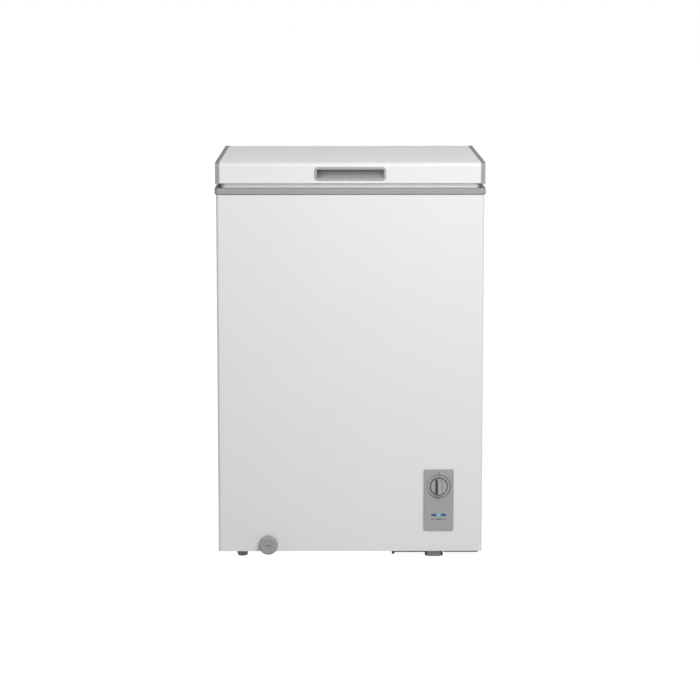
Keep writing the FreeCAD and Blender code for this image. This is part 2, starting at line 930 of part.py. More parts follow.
def compressor_bolts():
    """Hexagon bolts down through the grommets and the base plate, each with a nut."""
    seat = compressor_bottom + grommet_collar
    end = base_bottom - bolt_below
    bolts = []
    for x, y, z in mount_places(0):
        bolt = disc(bolt_radius, x, y, end, seat - end)
        head = hexagon(x, y, seat, bolt_head_radius, bolt_head)
        nut = hexagon(x, y, base_bottom - bolt_head, bolt_head_radius, bolt_head)
        bolts.append(bolt.fuse([head, nut]))
    return group(bolts)


def hexagon(x, y, z, radius, height):
    """A hexagonal prism for a bolt's head or nut."""
    corners = [(x + radius * math.cos(math.radians(60 * k)), y + radius * math.sin(math.radians(60 * k)), z)
               for k in range(6)]
    return prism(corners, V(0, 0, height))


def start_relay_box():
    """Plastic cover over the compressor's terminals."""
    near = compressor_y - compressor_radius - touch_gap
    return block(
        compressor_x - relay_width / 2, compressor_x + relay_width / 2, near - relay_depth, near,
        compressor_bottom + relay_above_pot, compressor_split - compressor_seam)


def base_plate():
    """Steel tray that carries the compressor, with folded cheeks round the two right feet."""
    plate = block(base_left, base_right, base_front, base_back, base_bottom, base_top)
    curl = block(
        base_left, base_left + base_plate_sheet, base_front, base_back, base_bottom - base_curl, base_top)
    cheeks = []
    for y in foot_rows:
        for side in (-1, 1):
            outer = right_foot_x + side * right_foot_width / 2
            inner = outer - side * (right_foot_cheek - touch_gap)
            x0, x1 = sorted((outer, inner))
            y0 = y - right_foot_length / 2
            cheeks.append(block(x0, x1, y0, y0 + right_foot_length, cheek_off_floor, base_bottom))
    plate = plate.fuse([curl] + cheeks)
    plate = drill(plate, mount_places(base_top), bolt_radius + shaft_gap, ALONG_Z, 20)
    return drill(plate, base_screw_places(), screw_radius + shaft_gap, ALONG_Z, 20)


def base_screw_places():
    """Where the base plate is screwed up into the wrap's bottom flange."""
    edge = base_right - base_screw_edge
    return [(bay_left + x, front + base_screw_inset, base_bottom) for x in base_screws_from_bay] + [
        (edge, compressor_y + y, base_bottom) for y in base_screws_from_pot]


# ---------------------------------------------------------------- bay covers
def rear_cover():
    """Louvred steel cover behind the compressor."""
    cover = block(bay_left, right - steel, back - cover_sheet, back, shell_bottom + steel, bay_top)
    for column in (-1, 1):
        middle = compressor_x + column * (louvre_width + louvre_column_gap) / 2
        for row in range(louvre_count):
            z = cord_z + louvre_above_cord + row * louvre_pitch
            cover = cover.cut(facing(
                middle - louvre_width / 2, middle + louvre_width / 2, back - 3, back + 3,
                z, z + louvre_height, louvre_height / 2.2))
    return drill(cover, [(cord_x, back, cord_z)], cord_radius + grommet_wall, ALONG_Y, 10)


def cord_grommet():
    """Flanged rubber bush in the rear cover that the mains cord passes through."""
    bore = cord_radius + shaft_gap
    waist = cord_radius + grommet_wall
    profile = [
        (bore, back - bush_reach), (waist + bush_flange, back - bush_reach),
        (waist + bush_flange, back - cover_sheet), (waist, back - cover_sheet), (waist, back),
        (waist + bush_flange, back), (waist + bush_flange / 2, back + bush_reach), (bore, back + bush_reach)]
    return turned_forward(profile, cord_x, cord_z)


def side_grille():
    """Slatted plastic vent in the right side of the bay."""
    half_width = grille_width / 2
    half_height = grille_height / 2
    inner_y = half_width - grille_rim
    inner_z = half_height - grille_rim
    spigot = grille_rim / 2 + touch_gap
    rim = block(right, right + grille_proud, grille_y - half_width, grille_y + half_width,
                grille_z - half_height, grille_z + half_height)
    tube = block(right - grille_depth, right, grille_y - half_width + spigot, grille_y + half_width - spigot,
                 grille_z - half_height + spigot, grille_z + half_height - spigot)
    opening = block(right - 5, right + 5, grille_y - inner_y, grille_y + inner_y,
                    grille_z - inner_z, grille_z + inner_z)
    grille = rim.fuse(tube).cut(opening)
    pitch = 2 * inner_z / grille_slats
    slats = []
    for index in range(grille_slats):
        z = grille_z - inner_z + pitch * (index + 0.35)
        slats.append(prism([
            (right - grille_depth, grille_y - inner_y, z + slat_rise),
            (right + grille_proud, grille_y - inner_y, z),
            (right + grille_proud, grille_y - inner_y, z + slat_thickness),
            (right - grille_depth, grille_y - inner_y, z + slat_rise + slat_thickness)],
            V(0, 2 * inner_y, 0)))
    return grille.fuse(slats)


# ---------------------------------------------------------------- feet
def left_foot(y):
    """Moulded conical foot with a stud up through the bottom panel."""
    height = shell_bottom + steel
    x = left + left_foot_inset
    cone = Part.makeCone(foot_bottom_radius, foot_top_radius, height, V(x, y, 0))
    floor_edge = [edge for edge in cone.Edges if edge.BoundBox.ZMax < 0.01]
    stud = disc(foot_stud_radius, x, y, height, foot_stud)
    return cone.makeFillet(foot_round, floor_edge).fuse(stud)


def right_foot(y):
    """Rubber pad held between the base plate's folded cheeks."""
    half_width = right_foot_width / 2 - right_foot_cheek
    half_length = right_foot_length / 2
    pad = block(right_foot_x - half_width, right_foot_x + half_width, y - half_length, y + half_length,
                0, base_bottom)
    lower = [edge for edge in pad.Edges if edge.BoundBox.ZMax < 0.01]
    return pad.makeFillet(pad_round, lower)


# ---------------------------------------------------------------- controls
def control_panel():
    """Grey panel with a dish for the knob, a window and a spigot into the front."""
    half_width = panel_width / 2
    plate = facing(
        panel_centre_x - half_width, panel_centre_x + half_width, front - panel_thickness, front,
        panel_bottom, panel_bottom + panel_height, panel_corner)
    face_edges = [edge for edge in plate.Edges if edge.BoundBox.YMax < front - panel_thickness + 0.01]
    plate = plate.makeFillet(panel_round, face_edges)
    x0, x1, z0, z1 = window_hole()
    gap = touch_gap
    spigot = facing(x0 + gap, x1 - gap, front, front + panel_spigot, z0 + gap, z1 - gap, panel_corner - gap)
    inside = gap + plastic_wall
    hollow = block(x0 + inside, x1 - inside, front, front + panel_spigot + 1, z0 + inside, z1 - inside)
    boss = disc(boss_radius, panel_centre_x, front, knob_z, thermostat_setback, ALONG_Y)
    panel = plate.fuse(spigot.cut(hollow)).fuse(boss)
    panel = panel.cut(disc(dish_radius, panel_centre_x, dish_floor - dish_depth, knob_z, dish_depth, ALONG_Y))
    panel = drill(panel, [(panel_centre_x, front, knob_z)], shaft_radius + shaft_gap, ALONG_Y,
                  4 * thermostat_setback)
    return panel.cut(window_plug(0, front - panel_thickness - 1, front + 1))


def window_plug(inset, y0, y1):
    """The indicator window's outline between two depths."""
    half_width = window_width / 2 - inset
    half_height = window_height / 2 - inset
    return facing(panel_centre_x - half_width, panel_centre_x + half_width, y0, y1,
                  window_z - half_height, window_z + half_height, 0.9 * half_height)


def indicator_lens():
    """Clear strip in the panel's window."""
    return window_plug(shaft_gap, front - panel_thickness - lens_proud, front + board_gap)


def indicator_board():
    """Small circuit board with three lamps behind the window."""
    y0 = front + board_gap
    return block(
        panel_centre_x - board_width / 2, panel_centre_x + board_width / 2, y0, y0 + board_sheet,
        window_z - board_height / 2, window_z + board_height / 2)


def control_box():
    """Plastic box behind the panel that closes off the thermostat from the bay."""
    x0, x1, z0, z1 = window_hole()
    wall = plastic_wall
    y0 = front + steel
    y1 = y0 + control_box_depth
    outside = block(x0 - wall, x1 + wall, y0, y1, z0 - wall, z1 + wall)
    return outside.cut(block(x0, x1, y0 - 1, y1 - wall, z0, z1))


def thermostat_body():
    """Thermostat whose face lies against the boss behind the panel."""
    half = thermostat_size / 2
    y0 = front + thermostat_setback
    body = block(panel_centre_x - half, panel_centre_x + half, y0, y0 + thermostat_depth,
                 knob_z - half, knob_z + half)
    return drill(body, [(panel_centre_x, y0, knob_z)], shaft_radius + shaft_gap, ALONG_Y, thermostat_bore * 2)


def thermostat_shaft():
    """Round shaft from the thermostat to the knob."""
    start = dish_floor - knob_seat - knob_bore + touch_gap
    end = front + thermostat_setback + thermostat_bore - touch_gap
    return disc(shaft_radius, panel_centre_x, start, knob_z, end - start, ALONG_Y)


def thermostat_knob():
    """Round knob with a raised bar across it and a pointer groove beside the bar."""
    rear = dish_floor - knob_seat
    face = rear - knob_disc
    top = rear - knob_height
    low = knob_z - knob_radius
    profile = [
        (0, rear), (knob_radius, rear), (knob_radius, face + knob_round),
        (knob_radius - knob_round, face), (0, face)]
    knob = turned_forward(profile, panel_centre_x, knob_z)
    bar_left = panel_centre_x - knob_grip_left
    bar_right = bar_left + knob_grip_width
    bar = prism([
        (bar_left, face, low), (bar_right, face, low), (bar_right - knob_grip_lean, top, low),
        (bar_left + knob_grip_lean, top, low)], V(0, 0, 2 * knob_radius))
    bar_reach = knob_radius - knob_bar_inset
    round_ends = Part.makeCone(
        bar_reach - knob_bar_taper, bar_reach, face - top, V(panel_centre_x, top, knob_z), ALONG_Y)
    groove = block(
        bar_left - knob_groove_width, bar_left, face - 1, face + knob_groove_depth, low, knob_z + knob_radius)
    groove_ends = disc(knob_radius - knob_groove_edge, panel_centre_x, top, knob_z, knob_height, ALONG_Y)
    knob = knob.fuse(bar.common(round_ends)).cut(groove.common(groove_ends))
    return drill(knob, [(panel_centre_x, rear, knob_z)], shaft_radius + shaft_gap, ALONG_Y, knob_bore * 2)


# ---------------------------------------------------------------- drain
def drain_hose():
    """Drain tube from the tub's floor to a flange on the front."""
    outside = rod(drain_route(), drain_tube_radius)
    cup = disc(drain_flange_radius, drain_x, drain_y, tub_floor, drain_flange)
    flange = disc(drain_flange_radius, drain_x, front - drain_flange, drain_z, drain_flange, ALONG_Y)
    bore_route = [
        (drain_x, drain_y, tub_floor + drain_flange + 1), (drain_x, drain_y, drain_z, drain_bend),
        (drain_x, front - drain_flange - 1, drain_z)]
    return outside.fuse([cup, flange]).cut(rod(bore_route, drain_bore_radius))


def drain_stem():
    """Thin spout that slides out of the drain tube."""
    start = dial_rear - dial_hub_depth
    stem = disc(drain_stem_radius, drain_x, start, drain_z, drain_stem_length, ALONG_Y)
    return stem.cut(disc(drain_stem_bore, drain_x, start + 3, drain_z, drain_stem_length, ALONG_Y))


def drain_dial():
    """Knurled cap on the end of the spout, with a coin slot in its face."""
    front_face = dial_rear - drain_dial_depth
    wall = dial_wall
    ring = dial_ring
    profile = [
        (0, front_face), (ring, front_face), (ring + 1, front_face + dial_ring_depth),
        (ring + 3, front_face + dial_ring_depth), (ring + 4, front_face),
        (drain_dial_radius - dial_round, front_face), (drain_dial_radius, front_face + dial_round),
        (drain_dial_radius, dial_rear), (drain_dial_radius - wall, dial_rear),
        (drain_dial_radius - wall, front_face + dial_face),
        (drain_stem_radius + wall, front_face + dial_face),
        (drain_stem_radius + wall, dial_rear), (drain_stem_radius + shaft_gap, dial_rear),
        (drain_stem_radius + shaft_gap, dial_rear - dial_hub_depth - touch_gap),
        (0, dial_rear - dial_hub_depth - touch_gap)]
    dial = turned_forward(profile, drain_x, drain_z)
    for index in range(dial_grooves):
        angle = 2 * math.pi * index / dial_grooves
        dial = dial.cut(disc(
            dial_groove, drain_x + (drain_dial_radius + 0.5) * math.cos(angle), front_face - 1,
            drain_z + (drain_dial_radius + 0.5) * math.sin(angle), drain_dial_depth + 2, ALONG_Y))
    half_length = dial_slot_length / 2
    half_width = dial_slot_width / 2
    return dial.cut(block(
        drain_x - half_length, drain_x + half_length, front_face - 1, front_face + dial_slot_depth,
        drain_z - half_width, drain_z + half_width))


def drain_plug():
    """Rubber plug in the tub's floor with a pull tab."""
    seat = tub_floor + drain_flange + touch_gap
    thick = drain_plug_thickness
    plug = disc(drain_plug_radius, drain_x, drain_y, seat, thick)
    stem = Part.makeCone(
        drain_bore_radius - 4 * touch_gap, drain_bore_radius - touch_gap, plug_stem,
        V(drain_x, drain_y, seat - plug_stem))
    half = plug_tab_width / 2
    tab = facing(drain_x - half, drain_x + half, drain_y - thick / 2, drain_y + thick / 2,
                 seat + thick - 1, seat + plug_tab_height, plug_tab_corner)
    hole_z = seat + plug_tab_height - half + 1
    hole = disc(plug_tab_hole, drain_x, drain_y - thick, hole_z, 2 * thick, ALONG_Y)
    return plug.fuse([stem, tab]).cut(hole)


# ---------------------------------------------------------------- lid
def lid_block(inset, x0, x1, bottom):
    """The lid's rounded section between two places along X, drawn in by a sheet."""
    corner = lid_corner - inset
    return prism([
        (x0, lid_front + inset, bottom), (x0, lid_back - inset, bottom),
        (x0, lid_back - inset, lid_skin_top - inset, corner),
        (x0, lid_front + inset, lid_skin_top - inset, corner)], V(x1 - x0, 0, 0))


def lid_hems(low, high):
    """Strips folded in along the lid's lower front and rear edges."""
    return [
        block(-skin_half, skin_half, lid_front, lid_front + lid_hem, low, high),
        block(-skin_half, skin_half, lid_back - lid_hem, lid_back, low, high)]


def lid_shell():
    """Painted steel skin of the lid, folded down at the front and rear."""
    skin = lid_block(0, -skin_half, skin_half, lid_bottom)
    skin = skin.cut(lid_block(lid_sheet, -skin_half - 1, skin_half + 1, lid_bottom - 1))
    skin = skin.fuse(lid_hems(lid_bottom, lid_bottom + lid_sheet))
    skin = skin.cut(handle_pocket(bezel_cup + touch_gap, lid_front - 2))
    return drill(skin, leaf_screw_places(), screw_radius + shaft_gap, ALONG_Y, 8)


def plug_space(grow, z0, z1):
    """The raised panel under the lid that reaches into the tub."""
    gap = plug_clearance - grow
    return upright(
        tub_left + gap, tub_right - gap, tub_front + gap, tub_back - gap, z0, z1, plug_corner + grow)


def lid_foam():
    """Rigid foam that fills the lid and its plug."""
    foam = lid_block(lid_sheet, -skin_half, skin_half, lid_bottom)
    foam = foam.cut(lid_hems(lid_bottom - 1, lid_bottom + lid_sheet))
    foam = foam.fuse(plug_space(-lid_liner_sheet, plug_bottom + lid_liner_sheet, lid_bottom + 1))
    foam = foam.cut(handle_pocket(bezel_cup, lid_front - 2))
    return drill(foam, leaf_screw_places(), screw_radius + shaft_gap, ALONG_Y, 2 * leaf_screw + 2)


def lid_liner():
    """White inner panel: a flat rim for the seal round a raised plug."""
    half = cap_start - seam_gap
    rim = upright(-half, half, lid_front + 2, lid_back - 2, flange_bottom, lid_bottom, lid_corner)
    plug = plug_space(0, plug_bottom, lid_bottom)
    lower = [edge for edge in plug.Edges if edge.BoundBox.ZMax < plug_bottom + 0.01]
    plug = plug.makeFillet(plug_round, lower)
    hollow = plug_space(-lid_liner_sheet, plug_bottom + lid_liner_sheet, lid_bottom + 1)
    return rim.fuse(plug).cut(hollow)


def lid_end_cap(side):
    """Grey channel over one end of the lid."""
    outer = lid_block(-cap_proud, cap_start, lid_half, lid_bottom - cap_hang)
    inner = lid_block(-shaft_gap, cap_start - 1, lid_half - cap_wall, lid_bottom - cap_hang - 1)
    cap = outer.cut(inner)
    if side < 0:
        cap = cap.mirror(V(0, 0, 0), ALONG_X)
    return cap


def gasket_ring(inset_in, inset_out, z0, z1):
    """A rectangular ring under the lid's rim, between two distances in from the seal's outside."""
    x0 = -lid_half + gasket_inset_x
    y0 = lid_front + gasket_inset_y
    y1 = lid_back - gasket_inset_y
    outer = upright(x0 + inset_out, -x0 - inset_out, y0 + inset_out, y1 - inset_out, z0, z1,
                    gasket_corner - inset_out * 0.4)
    return outer.cut(upright(x0 + inset_in, -x0 - inset_in, y0 + inset_in, y1 - inset_in, z0 - 1, z1 + 1,
                             gasket_corner - inset_in * 0.4))


def lid_gasket():
    """Soft seal with a magnet channel under the lid's rim."""
    low = collar_top + touch_gap
    seal = gasket_ring(gasket_width, 0, low, flange_bottom)
    channel = gasket_ring(gasket_width - magnet_side, magnet_side, low + magnet_side, flange_bottom + 1)
    seal = seal.cut(channel)
    return seal.cut(gasket_ring(seal_pleat, -1, low + seal_pleat_low, low + seal_pleat_low + seal_pleat))


def gasket_magnets():
    """Four flexible magnet strips in the seal's channel."""
    low = collar_top + touch_gap + magnet_side + touch_gap
    high = low + magnet_strip
    side = magnet_side + touch_gap
    x0 = -lid_half + gasket_inset_x
    y0 = lid_front + gasket_inset_y
    y1 = lid_back - gasket_inset_y
    wide = gasket_width - 2 * side
    run = gasket_width + magnet_corner_gap
    strips = [
        block(x0 + run, -x0 - run, y0 + side, y0 + side + wide, low, high),
        block(x0 + run, -x0 - run, y1 - side - wide, y1 - side, low, high),
        block(x0 + side, x0 + side + wide, y0 + run, y1 - run, low, high),
        block(-x0 - side - wide, -x0 - side, y0 + run, y1 - run, low, high)]
    return group(strips)


def handle_pocket(grow, y0):
    """The finger pocket behind the bezel, undercut at the top, grown by its wall."""
    bottom = handle_bottom - grow
    top = handle_bottom + handle_height + grow
    ceiling = top + handle_undercut
    rear = lid_front + handle_depth + grow
    lip = lid_front + handle_lip + grow * 0.2
    half = handle_width / 2 + grow
    return prism([
        (-half, y0, bottom), (-half, rear, bottom, handle_scoop + grow),
        (-half, rear, ceiling, handle_top_bend + grow),
        (-half, lip, ceiling), (-half, lip, top), (-half, y0, top)], V(2 * half, 0, 0))


def handle_recess():
    """Moulded finger pull: a bezel on the lid's front with a cup behind it."""
    half = bezel_width / 2
    low = lid_bottom + bezel_above_lid_bottom
    bezel = facing(-half, half, lid_front - bezel_proud, lid_front, low, low + bezel_height,
                   bezel_corner)
    face_edges = [edge for edge in bezel.Edges if edge.BoundBox.YMax < lid_front - bezel_proud + 0.01]
    bezel = bezel.makeFillet(bezel_round, face_edges)
    cup = handle_pocket(bezel_cup, lid_front)
    return bezel.fuse(cup).cut(handle_pocket(0, lid_front - 3))


# ---------------------------------------------------------------- hinges
def hinge_base(x):
    """Plate on the cabinet's back with two cheeks that hold the pin and guide the plunger."""
    half = hinge_plate_width / 2
    high = collar_bottom - seam_gap
    plate = block(x - half, x + half, back, back + hinge_plate, hinge_low, high)
    crown = pin_z + knuckle_radius + 2.0
    outline = [
        (0, back, hinge_low), (0, back + pin_behind_back, hinge_low),
        (0, back + hinge_reach, pin_z - cheek_slope),
        (0, back + hinge_reach, crown, cheek_bend), (0, back + pin_behind_back - cheek_notch, crown),
        (0, back + collar_lip + seam_gap, collar_bottom + 2.0), (0, back + collar_lip + seam_gap, high),
        (0, back, high)]
    cheeks = []
    for start in (x - cheek_inside - cheek_sheet, x + cheek_inside):
        cheek = prism(outline, V(cheek_sheet, 0, 0))
        cheek.translate(V(start, 0, 0))
        cheeks.append(cheek)
    shelf = block(x - cheek_inside, x + cheek_inside, back, back + pin_behind_back, hinge_low,
                  hinge_low + cheek_sheet)
    base = plate.fuse(cheeks + [shelf])
    base = drill(base, [(x, pin_y, pin_z)], pin_radius + shaft_gap, ALONG_X, hinge_plate_width)
    return drill(base, base_plate_screws(x), screw_radius + shaft_gap, ALONG_Y, 6)


def hinge_pin(x):
    """Pin through both cheeks and the knuckle, with a head at each end."""
    half = cheek_inside + cheek_sheet
    shank = disc(pin_radius, x - half, pin_y, pin_z, 2 * half, ALONG_X)
    heads = [disc(pin_radius + pin_head, start, pin_y, pin_z, pin_head, ALONG_X)
             for start in (x - half - pin_head, x + half)]
    return shank.fuse(heads)


def cam_point(angle):
    """A point on the cam, from the pin, that touches the plunger when the lid is open by an angle."""
    drop = cam_first_drop - cam_base_radius * angle
    y = drop * math.sin(angle) - cam_base_radius * math.cos(angle)
    z = -drop * math.cos(angle) - cam_base_radius * math.sin(angle)
    return V(0, pin_y + y, pin_z + z)


def hinge_leaf(x):
    """Lid half of the hinge: a plate on the lid's rear, a knuckle on the pin and a lifting cam."""
    half = hinge_plate_width / 2
    plate = block(
        x - half, x + half, lid_back, lid_back + hinge_plate, lid_bottom + leaf_low, lid_top - leaf_high)
    wide = knuckle_half_width
    inner = pin_y - knuckle_radius + web_inset
    outer = pin_y + knuckle_radius - web_inset
    web = prism([
        (x - wide, lid_back, lid_bottom + web_height), (x - wide, lid_back, lid_bottom + 0.5),
        (x - wide, inner - 3.0, pin_z + 9.0), (x - wide, inner, pin_z),
        (x - wide, outer, pin_z), (x - wide, outer, pin_z + 10.0),
        (x - wide, lid_back + web_thickness, lid_bottom + web_height)], V(2 * wide, 0, 0))
    hub = disc(knuckle_radius, x - wide, pin_y, pin_z, 2 * wide, ALONG_X)
    curve = Part.BSplineCurve()
    curve.interpolate([cam_point(lid_opening * step / 6) for step in range(7)])
    first = cam_point(0)
    last = cam_point(lid_opening)
    centre = V(0, pin_y, pin_z)
    cheek = V(0, pin_y - cam_base_radius, pin_z)
    cam = Part.Face(Part.Wire([
        curve.toShape(), Part.LineSegment(last, centre).toShape(),
        Part.LineSegment(centre, cheek).toShape(), Part.LineSegment(cheek, first).toShape()]))
    cam = cam.extrude(V(cam_width, 0, 0))
    cam.translate(V(x - cam_width / 2, 0, 0))
    leaf = plate.fuse([web, hub, cam])
    leaf = drill(leaf, [(x, pin_y, pin_z)], pin_radius + shaft_gap, ALONG_X, hinge_plate_width)
    return drill(leaf, leaf_screws(x), screw_radius + shaft_gap, ALONG_Y, 8)


def hinge_plunger(x):
    """Spring-loaded plunger under the cam."""
    head = disc(plunger_radius, x, plunger_y, plunger_top - plunger_head, plunger_head)
    stem = disc(plunger_stem_radius, x, plunger_y, plunger_top - plunger_head - plunger_stem_length,
                plunger_stem_length)
    return head.fuse(stem)


def hinge_spring(x):
    """Coil spring between the plunger's head and the shelf of the hinge."""
    low = hinge_low + cheek_sheet + spring_wire + touch_gap
    high = plunger_top - plunger_head - spring_wire - touch_gap
    height = high - low
    helix = Part.makeHelix(height / spring_turns, height, spring_radius)
    ring = Part.makeCircle(spring_wire, V(spring_radius, 0, 0), ALONG_Y)
    spring = Part.Wire(helix).makePipeShell([Part.Wire(ring)], True, True)
    spring.translate(V(x, plunger_y, low))
    return spring


def base_plate_screws(x):
    """Four screw places on one hinge's cabinet plate."""
    return [(x + side * hinge_screw_offset, back + hinge_plate, z) for side in (-1, 1)
            for z in (hinge_low + hinge_screw_low, collar_bottom - hinge_screw_high)]


def leaf_screws(x):
    """Four screw places on one hinge's lid plate."""
    return [(x + side * hinge_screw_offset, lid_back + hinge_plate, z) for side in (-1, 1)
            for z in (lid_bottom + lid_screw_low, lid_top - lid_screw_high)]


def base_plate_screw_places():
    """Every screw place of the two hinges on the cabinet."""
    return base_plate_screws(-hinge_offset_x) + base_plate_screws(hinge_offset_x)


def leaf_screw_places():
    """Every screw place of the two hinges on the lid."""
    return leaf_screws(-hinge_offset_x) + leaf_screws(hinge_offset_x)


def hinge_screws():
    """Screws that hold the hinges to the cabinet's back."""
    return group([screw(x, y, z, ALONG_Y * -1, leaf_screw) for x, y, z in base_plate_screw_places()])


def lid_screws():
    """Screws that hold the hinges to the lid."""
    return group([screw(x, y, z, ALONG_Y * -1, leaf_screw) for x, y, z in leaf_screw_places()])


def base_screws():
    """Screws up through the base plate into the wrap's flange."""
    return group([screw(x, y, z, ALONG_Z, base_screw) for x, y, z in base_screw_places()])


# ---------------------------------------------------------------- basket
def basket_ring(z, radius, inset):
    """A rounded rectangle of wire at one height, as two halves that meet."""
    middle = (basket_left + basket_right) / 2
    halves = []
    for side in (basket_left + inset, basket_right - inset):
        halves.append(rod([
            (middle, basket_front + inset, z), (side, basket_front + inset, z, basket_bend),
            (side, basket_back - inset, z, basket_bend), (middle, basket_back - inset, z)], radius))
    return halves


def wire_basket():
    """Hanging basket of bent wires, welded where they cross, with four hooks that rest on the collar."""
    thin = basket_mesh_wire
    beside_rim = basket_wire + thin - basket_weld
    beside = 2 * thin - basket_weld
    wires = basket_ring(basket_rim, basket_wire, 0)
    wires += basket_ring(basket_rim - basket_height / 2, thin, beside_rim - beside)
    wires += basket_ring(basket_floor + basket_bend, thin, beside_rim - beside)
    x0 = basket_left + beside_rim
    x1 = basket_right - beside_rim
    y0 = basket_front + beside_rim
    y1 = basket_back - beside_rim
    for index in range(basket_cross_wires):
        y = y0 + (y1 - y0) * (index + 1) / (basket_cross_wires + 1)
        wires.append(rod([
            (x0, y, basket_rim), (x0, y, basket_floor, basket_bend),
            (x1, y, basket_floor, basket_bend), (x1, y, basket_rim)], thin))
    for index in range(basket_long_wires):
        x = x0 + (x1 - x0) * (index + 1) / (basket_long_wires + 1)
        wires.append(rod([
            (x, y0, basket_rim), (x, y0, basket_floor + beside, basket_bend),
            (x, y1, basket_floor + beside, basket_bend), (x, y1, basket_rim)], thin))
    rest = collar_top + basket_wire + touch_gap
    behind = 2 * basket_wire - basket_weld
    low = basket_rim - basket_hook_drop
    for x in (basket_left + basket_hook_inset, basket_right - basket_hook_inset):
        for y, way in ((basket_front, -1), (basket_back, 1)):
            wires.append(rod([
                (x, y - way * behind, low), (x, y - way * behind, rest, 2 * basket_wire),
                (x, y + way * basket_hook_reach, rest)], basket_wire))
    return wires[0].multiFuse(wires[1:])


# ---------------------------------------------------------------- output
def main():
    """Build every piece and write it."""
    os.makedirs("parts", exist_ok=True)
    save("cabinet_shell", cabinet_shell())
    save("back_panel", drill(back_panel(), base_plate_screw_places(), screw_radius + shaft_gap, ALONG_Y, 12))
    stud_hole = foot_stud_radius + shaft_gap
    save("bottom_panel", drill(bottom_panel(), foot_studs(), stud_hole, ALONG_Z, floor_insulation))
    foam = drill(cabinet_foam(), foot_studs(), stud_hole, ALONG_Z, floor_insulation)
    save("cabinet_foam", drill(foam, base_plate_screw_places(), screw_radius + shaft_gap, ALONG_Y,
                               2 * leaf_screw + 2))
    save("inner_liner", inner_liner())
    save("top_collar", top_collar())
    save("bay_liner", bay_liner())
    save("evaporator_coil", evaporator_coil())
    save("condenser_coil", condenser_coil())
    save("filter_drier", filter_drier())
    save("capillary_tube", capillary_tube())
    save("suction_tube", suction_tube())
    save("discharge_tube", discharge_tube())
    save("compressor_lower_shell", compressor_lower_shell())
    save("compressor_upper_shell", compressor_upper_shell())
    save("compressor_motor", compressor_motor())
    save("compressor_grommets", compressor_grommets())
    save("compressor_bolts", compressor_bolts())
    save("start_relay_box", start_relay_box())
    save("base_plate", base_plate())
    save("base_screws", base_screws())
    save("rear_cover", rear_cover())
    save("cord_grommet", cord_grommet())
    save("side_grille", side_grille())
    save("front_left_foot", left_foot(foot_rows[0]))
    save("rear_left_foot", left_foot(foot_rows[1]))
    save("front_right_foot", right_foot(foot_rows[0]))
    save("rear_right_foot", right_foot(foot_rows[1]))
    save("control_panel", control_panel())
    save("control_box", control_box())
    save("indicator_lens", indicator_lens())
    save("indicator_board", indicator_board())
    save("thermostat_body", thermostat_body())
    save("thermostat_shaft", thermostat_shaft())
    save("thermostat_knob", thermostat_knob())
    save("drain_hose", drain_hose())
    save("drain_stem", drain_stem())
    save("drain_dial", drain_dial())
    save("drain_plug", drain_plug())
    save("lid_shell", lid_shell())
    save("lid_foam", lid_foam())
    save("lid_liner", lid_liner())
    save("left_lid_end_cap", lid_end_cap(-1))
    save("right_lid_end_cap", lid_end_cap(1))
    save("lid_gasket", lid_gasket())
    save("gasket_magnets", gasket_magnets())
    save("handle_recess", handle_recess())
    for name, x in (("left", -hinge_offset_x), ("right", hinge_offset_x)):
        save(name + "_hinge_base", hinge_base(x))
        save(name + "_hinge_leaf", hinge_leaf(x))
        save(name + "_hinge_plunger", hinge_plunger(x))
        save(name + "_hinge_spring", hinge_spring(x))
    save("hinge_pins", group([hinge_pin(-hinge_offset_x), hinge_pin(hinge_offset_x)]))
    save("hinge_screws", hinge_screws())
    save("lid_screws", lid_screws())
    save("wire_basket", wire_basket())


def foot_studs():
    """Where the left feet's studs pass through the bottom panel."""
    return [(left + left_foot_inset, y, shell_bottom) for y in foot_rows]


main()
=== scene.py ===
"""Chest freezer: its dressed pieces, finishes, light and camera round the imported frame.

Metres, +Z up, front at -Y, feet on the floor at z = 0.
"""
import json
import math

import bmesh
import bpy
from mathutils import Matrix, Vector

